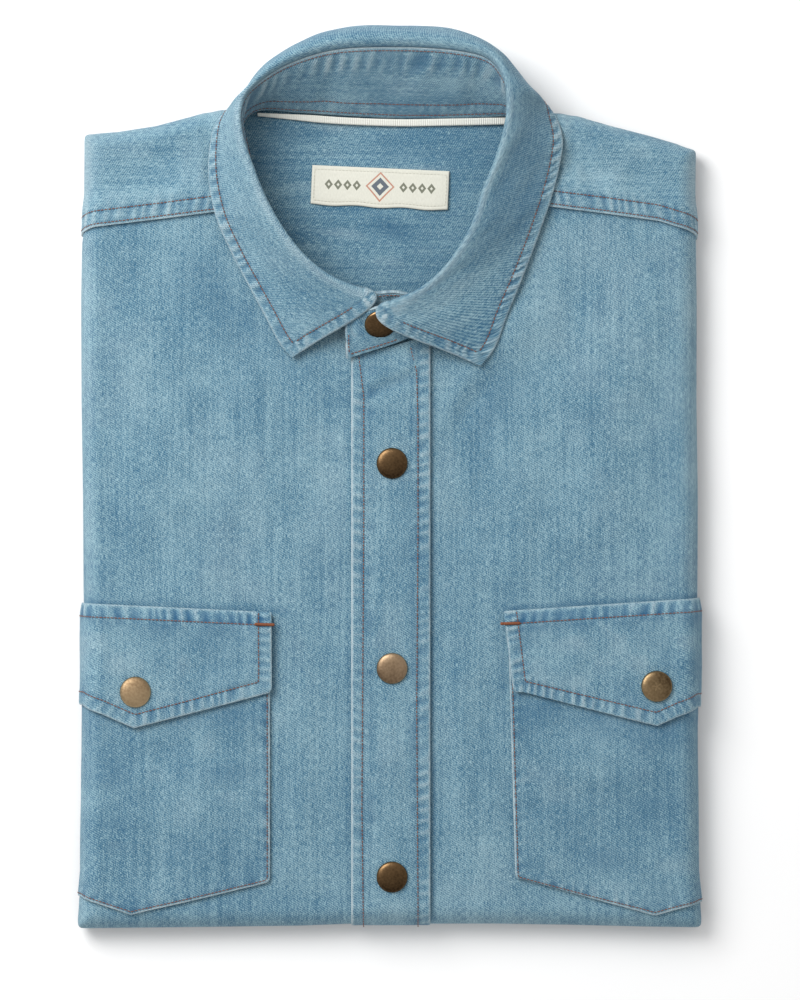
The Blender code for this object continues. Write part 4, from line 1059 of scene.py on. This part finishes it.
leaf_sections = []
for row in through(LEAF, LEAF_STEPS):
    section = dict(zip(COLLAR_COLUMNS, row))
    foot = np.array((section["neck_x"], section["neck_y"], section["neck_z"]))
    start = np.array((section["top_x"], section["top_y"], section["top_z"]))
    edge = np.array((section["edge_x"], section["edge_y"], section["edge_z"]))
    rising = (start - foot) / np.linalg.norm(start - foot)
    start = start + rising * LEAF_GAP
    inward = start[:2] - edge[:2]
    inward = np.array((*inward, 0.0)) / np.linalg.norm(inward)
    forward = np.array((inward[1], -inward[0], 0.0))
    forward = -forward if forward[1] > 0 else forward
    back_part = smooth((20.0 - edge[2]) / 14.0)
    fall = start[2] - edge[2]
    up = np.array((0.0, 0.0, 1.0))
    roll = start + rising * (ROLL_LENGTH + ROLL_PER_DROP * fall)
    roll = roll + up * (ROLL_RISE + ROLL_PER_DROP * fall + section["rise"]) + forward * section["bow"]
    lying = edge + (start - edge) * (LYING_SHARE, LYING_SHARE, 0.0) + up * LYING_RISE
    hanging = edge - inward * BACK_BULGE + up * BACK_SHARE * fall
    hang = lying + (hanging - lying) * back_part
    t = np.linspace(0.0, 1.0, 120)[:, None]
    s = 1.0 - t
    curve = s**3 * start + 3 * s**2 * t * roll + 3 * s * t**2 * hang + t**3 * edge
    passed = np.concatenate(([0.0], np.linalg.norm(np.diff(curve, axis=0), axis=1).cumsum()))
    near_edge = passed[-1] - np.array(EDGE_SPACES)[::-1]
    stops = np.concatenate((np.linspace(0.0, near_edge[0], 44)[:-1], near_edge))
    leaf_sections.append([[np.interp(stop, passed, curve[:, k]) for k in range(3)] for stop in stops])
points = np.array(leaf_sections)
leaf_shape = points.copy()
run, fall = run_of(points, 0), run_of(points, 1)
from_edge = fall[:, -1:] - fall


def from_rim(points, rim_line):
    """Distance from a grid of places to a line of places, and how far along it each is."""
    best = np.full(points.shape[:2], 1e9)
    where = np.zeros(points.shape[:2])
    passed = np.concatenate(([0.0], np.linalg.norm(np.diff(rim_line, axis=0), axis=1).cumsum()))
    for spot, at in zip(rim_line, passed):
        off = np.linalg.norm(points - spot, axis=2)
        where = np.where(off < best, at, where)
        best = np.minimum(off, best)
    return best, where


first_end, first_run = from_rim(points, points[0])
last_end, last_run = from_rim(points, points[-1])
from_front = np.minimum(first_end, last_end)
front_run = np.where(first_end < last_end, first_run, last_run)
edge_height, edge_wear_and_shade = seam(from_edge, run, (LEAF_ROW,), (0.9, 5.3), 160, 5.6, 0.48, 1.0)
front_height, front_wear_and_shade = seam(from_front, front_run, (LEAF_ROW,), (0.9, 5.3), 163, 5.4, 0.48, 1.0)
beside = smooth((from_front - 3.0) / 4.0)
inner_side = smooth((from_edge - 3.0) / 4.0)
back_part = smooth((points[:, -1:, 1] - 170.0) / 14.0)
height = edge_height * (0.3 + 0.7 * beside) + front_height * (0.3 + 0.7 * inner_side)
wear = edge_wear_and_shade * (0.3 + 0.7 * beside) + front_wear_and_shade * (0.3 + 0.7 * inner_side)
crest = np.take_along_axis(fall, points[..., 2].argmax(axis=1)[:, None], axis=1)
rubbed_roll = (0.26 - 0.2 * back_part) * np.exp(-(((fall - crest) / 2.6) ** 2)) * smooth(fall / 2.5)
# Painted shade over the left leaf's outer slope, past its crest, which faces away from the light
on_left = smooth((points[:, :1, 0] - 20.0) / 30.0) * smooth((185.0 - points[:, :1, 1]) / 30.0)
# Painted shade in the groove where the leaf leaves the stand
wear = wear - 0.35 * np.exp(-((fall / 1.3) ** 2)) + 0.08 * patchy(run, fall, 15.0, 166)
wear = wear - 0.16 * back_part * smooth((fall - 2.0) / 5.0) + rubbed_roll
wear = wear - 0.30 * on_left * smooth((from_edge - 4.0) / 6.0) * smooth((fall - crest) / 6.0)
slack = (0.5 * patchy(run, fall * 0.5, 20.0, 167) + 0.18 * patchy(run, fall, 9.0, 168))
slack = slack * smooth(from_edge / 9.0) * smooth(fall / 9.0) * smooth(from_front / 9.0)
points = points + facing(points) * (height + slack)[..., None]
for ends_at in (first_end, last_end):
    points = rounded(rounded(points, from_edge, ends_at, 1.6), fall, ends_at, 3.0)
flat = np.stack((run, fall), axis=-1)
collar_denim = denim("collar_denim", 171.0, 0.02, True)
leaf = cloth("collar_leaf", points, flat, wear, LEAF_WALL, collar_denim, wall_side=0.0)
leaf_face = grid_surface(leaf_shape, LEAF_WALL / 2.0 + 0.12)
column = leaf_shape.shape[1] - 1 - EDGE_SPACES.index(5.0) - 0.5
front_lines = []
for ends_at, order in ((first_end, 1), (last_end, -1)):
    places = []
    for j in range(12, int(column) + 1):
        rows_at = np.arange(60) if order > 0 else len(points) - 1 - np.arange(60)
        places.append((np.interp(LEAF_ROW, ends_at[rows_at, j], rows_at), j))
    front_lines.append(np.array(places))
edge_line = np.stack((np.arange(front_lines[0][-1][0], front_lines[1][-1][0], 2.0),) * 2, axis=1)
edge_line[:, 1] = column
stitches = sew("collar_stitches", (front_lines[0], edge_line, front_lines[1]), leaf_face)

# ---------------------------------------------------------------------------------------------
# Neck tape: a strip of ribbed off-white cotton over the back neck seam, narrower toward its right
# end, where the stand hides its edge.
TAPE_OUT = 2.2
RIB_PITCH = 0.9
TAPE_WALL = 0.8
tape_run = through(TAPE_RUN, 60)
share = np.linspace(-0.5, 0.5, 9)
widen = np.clip(0.45 + (tape_run[:, 0] + 64.0) / 50.0, 0.45, 1.0)
x = np.repeat(tape_run[:, :1], len(share), axis=1)
y = tape_run[:, 1:2] - 0.5 + TAPE_WIDTH * 1.15 * share[None, :] * widen[:, None]
ribs = 0.07 * np.cos(x * 2.0 * math.pi / RIB_PITCH)
sunk = -0.35 * (np.abs(share[None, :]) > 0.45)
points = np.stack((x, y, FLOOR_Z + TAPE_OUT + 0.9 * share[None, :] + ribs + sunk), axis=-1)
flat = np.stack((x, y), axis=-1)
tape_cloth = Shader("ribbed_cotton", 0.85)
tape_place = tape_cloth.flat_map()
tape_rib = tape_cloth.bands(tape_place, RIB_PITCH * MM, {"Distortion": 0.4})
tape_shade = tape_rib * 0.5 + tape_cloth.grain(tape_place, (6.0 * MM, 1.2 * MM), 2.0, 9.0) * 0.5
tape_white = tape_cloth.mix(tape_shade.clamped(), (0.72, 0.72, 0.65), (0.88, 0.88, 0.81))
tape_cloth.paint(tape_white, None, tape_rib, 0.0002)
no_wear = np.zeros(x.shape)
tape = cloth("neck_tape", points, flat, no_wear, TAPE_WALL, tape_cloth.material)

# ---------------------------------------------------------------------------------------------
# Label: woven satin, sewn down all round on the inside of the yoke. It bears no words, only a large
# lozenge in a frame between two rows of small ones.
LABEL_CENTRE = (-5.0, 139.1)
LABEL_HALF_X, LABEL_HALF_Y = 33.1, 9.3
LABEL_OUT = 1.25
LABEL_WALL = 0.8
LABEL_TURN = math.radians(-2.6)
LOZENGE_PITCH = 4.5


def between(wire, low, high):
    """1 where a shader's number is between two values, and 0 elsewhere."""
    return wire.math("LESS_THAN", high) * wire.math("GREATER_THAN", low)


across = spaced(-LABEL_HALF_X, LABEL_HALF_X, 0.9)
u, v = np.meshgrid(across, spaced(-LABEL_HALF_Y, LABEL_HALF_Y, 0.7), indexing="ij")
droop = -0.35 * smooth(-v / LABEL_HALF_Y) * (1.0 + np.cos(u * 2.0 * math.pi / 23.0))
x = LABEL_CENTRE[0] + u * math.cos(LABEL_TURN) - (v + droop) * math.sin(LABEL_TURN)
y = LABEL_CENTRE[1] + u * math.sin(LABEL_TURN) + (v + droop) * math.cos(LABEL_TURN)
to_edge = np.minimum(LABEL_HALF_X - np.abs(u), LABEL_HALF_Y - np.abs(v))
z = FLOOR_Z + LABEL_OUT + 0.12 * patchy(u, v, 9.0, 181) - 0.35 * np.exp(-((to_edge / 0.4) ** 2))
z = z - 0.2 * np.exp(-(((to_edge - 1.7) / 0.5) ** 2))
points = np.stack((x, y, z), axis=-1)
flat = np.stack((u, v), axis=-1)
satin = Shader("label_satin", 0.55)
satin_place = satin.flat_map()
over, down = [wire * (1.0 / MM) for wire in satin.split(satin_place)]
weave = satin.grain(satin_place, (0.35 * MM, 1.6 * MM), 2.0, 5.0)
across_it, up_it = over.math("ABSOLUTE"), (down - 0.4).math("ABSOLUTE")
cell = (over + 100.0 * LOZENGE_PITCH).math("MODULO", LOZENGE_PITCH) - LOZENGE_PITCH / 2.0
small = cell.math("ABSOLUTE") + up_it * 0.8
beside = between(across_it, 9.0, 27.0)
small_part = between(small, 0.7, 2.0) * beside
large = across_it + up_it
frame_part, heart_part = between(large, 6.0, 7.0), between(large, 1.6, 4.3)
ground = satin.mix(weave, (0.56, 0.55, 0.47), (0.76, 0.75, 0.66))
marked = satin.mix(small_part * 0.85, ground, (0.07, 0.08, 0.04))
framed = satin.mix(frame_part * 0.8, marked, (0.42, 0.12, 0.05))
lined = satin.mix(heart_part * 0.9, framed, (0.035, 0.06, 0.10))
satin.paint(lined, None, weave, 0.00015)
label = cloth("label", points, flat, np.zeros(u.shape), LABEL_WALL, satin.material)
pale_thread = Shader("pale_thread", 0.7)
pale_thread.paint((0.56, 0.55, 0.47))
count_u, count_v = u.shape
corners = ((3, 4), (count_u - 4, 4), (count_u - 4, count_v - 5), (3, count_v - 5), (3, 4))
label_face = grid_surface(points, 0.12)
label_stitches = sew("label_stitches", (corners,), label_face, 0.2, 1.3, 1.7, pale_thread.material)

# ---------------------------------------------------------------------------------------------
# Snaps: pressed brass caps with a rolled rim, antiqued dark. The placket's second snap is painted
# lighter, a painted reflection where its tilt catches the light, the flap snaps are lighter still,
# and the left flap's is scratched in a star.
FLAP_SNAP_OUT = 2.0 * GAP + 3.6
COLLAR_SNAP = Vector((-5.0, 73.4, 26.6))
COLLAR_SNAP_FACES = Vector((0.05, -0.62, 1.0))
RIM_RADIUS, DISH_RADIUS = 7.1, 6.5
# The cap's section, each row a radius and a height
CAP_PROFILE = (
    (0.0, 2.35), (2.2, 2.30), (4.2, 2.14), (5.4, 1.96), (6.2, 1.76), (6.75, 1.52), (7.1, 1.26),
    (7.34, 0.96), (7.46, 0.66), (7.48, 0.4), (7.3, 0.16), (6.9, 0.04), (3.5, 0.0), (0.0, 0.0),
)
CAP_SEGMENTS = 56


def brass(name, dark, light, roughness, seed, star=0.0):
    """Antiqued brass: a dark patina, rubbed through along fine scratches and at the rim, and a painted
    light gradient that makes each cap paler toward its upper left, the side the key light comes from.
    """
    shader = Shader(name, roughness, 1.0)
    place = shader.flat_map("cap")
    mottle = shader.grain(place, (1.1 * MM, 1.1 * MM), 4.0, seed)
    cloudy = shader.grain(place, (4.5 * MM, 4.5 * MM), 2.0, seed + 4.0)
    rim = shader.attribute("rim")
    across_cap, up_cap = shader.split(place)
    # Painted light: paler toward each cap's upper left, where the key light is
    painted_light_gradient = (up_cap - across_cap * 0.35) * (0.042 / MM)
    paling = (mottle - 0.5) * 0.8 + (cloudy - 0.5) * 0.6 + 0.42 + rim * 0.4 + painted_light_gradient
    if star:
        angle = up_cap.math("ARCTAN2", across_cap)
        far = shader.node("ShaderNodeVectorMath", {"operation": "LENGTH"}, {0: place}, out=1)
        rays = (angle * 5.0).math("COSINE") * 0.9 + 1.4
        paling = paling + (far * (1.0 / MM)).math("LESS_THAN", rays) * star
    colour = shader.mix(paling.clamped(), dark, light)
    rough = (paling.clamped() * -0.16) + (roughness + 0.08)
    return shader.paint(colour, rough, mottle, 0.00005)


def cap(name, place, normal, material, slot):
    """A domed cap turned about its own axis, standing on the cloth with its face to normal."""
    turned = Vector(normal).to_track_quat("Z", "Y").to_matrix().to_4x4()
    mesh = bmesh.new()
    verts = [mesh.verts.new((r * MM, 0.0, h * MM)) for r, h in CAP_PROFILE]
    edges = [mesh.edges.new(pair) for pair in zip(verts, verts[1:])]
    bmesh.ops.spin(mesh, geom=verts + edges, axis=(0.0, 0.0, 1.0), cent=(0.0, 0.0, 0.0), dvec=(0, 0, 0),
                   angle=2.0 * math.pi, steps=CAP_SEGMENTS, use_merge=True)
    bmesh.ops.remove_doubles(mesh, verts=mesh.verts, dist=1e-7)
    bmesh.ops.recalc_face_normals(mesh, faces=mesh.faces)
    face_map = mesh.loops.layers.uv.new("cap")
    paling = mesh.verts.layers.float.new("rim")
    for vert in mesh.verts:
        radius = math.hypot(vert.co.x, vert.co.y) / MM
        dished = math.exp(-(((radius - DISH_RADIUS) / 0.3) ** 2))
        vert[paling] = math.exp(-(((radius - RIM_RADIUS) / 0.28) ** 2)) - 0.2 * dished
    for face in mesh.faces:
        for loop in face.loops:
            loop[face_map].uv = loop.vert.co.xy
    to_cloth = Matrix.Translation(Vector(place) * MM) @ turned
    bmesh.ops.transform(mesh, matrix=to_cloth, verts=mesh.verts)
    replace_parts(finished(name + "_cap", mesh, material, slot), name)


dark_brass = brass("dark_brass", (0.030, 0.018, 0.009), (0.19, 0.115, 0.055), 0.36, 3.0)
rubbed_brass = brass("rubbed_brass", (0.19, 0.125, 0.07), (0.50, 0.37, 0.22), 0.42, 8.0)
# A lighter copy of the dark brass, a painted reflection, for the placket's second snap
lit_brass = brass("lit_brass", (0.13, 0.085, 0.05), (0.42, 0.30, 0.19), 0.42, 5.0)
star_brass = brass("star_brass", (0.07, 0.044, 0.022), (0.34, 0.24, 0.13), 0.38, 12.0, 0.3)
for name, seat, material, slot in (
    ("snap_front_1", PLACKET_OUT, dark_brass, "snap_brass"),
    ("snap_front_2", PLACKET_OUT, lit_brass, "snap_brass"),
    ("snap_front_3", PLACKET_OUT, dark_brass, "snap_brass"),
    ("snap_flap_right", FLAP_SNAP_OUT, rubbed_brass, "flap_snap_brass"),
    ("snap_flap_left", FLAP_SNAP_OUT, star_brass, "flap_snap_brass"),
):
    low_corner, high_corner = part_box(name)
    spot = (low_corner + high_corner) / 2.0 / MM
    here = on_body(spot.x, spot.y, seat + 0.3)
    tilt = np.cross(on_body(spot.x + 4.0, spot.y, seat) - here + (0, 0, 0.3),
                    on_body(spot.x, spot.y + 4.0, seat) - here + (0, 0, 0.3))
    cap(name, here, tilt / np.linalg.norm(tilt), material, slot)
collar_tilt = COLLAR_SNAP_FACES.normalized()
cap("snap_collar", COLLAR_SNAP + collar_tilt * 1.35, collar_tilt, dark_brass, "snap_brass")
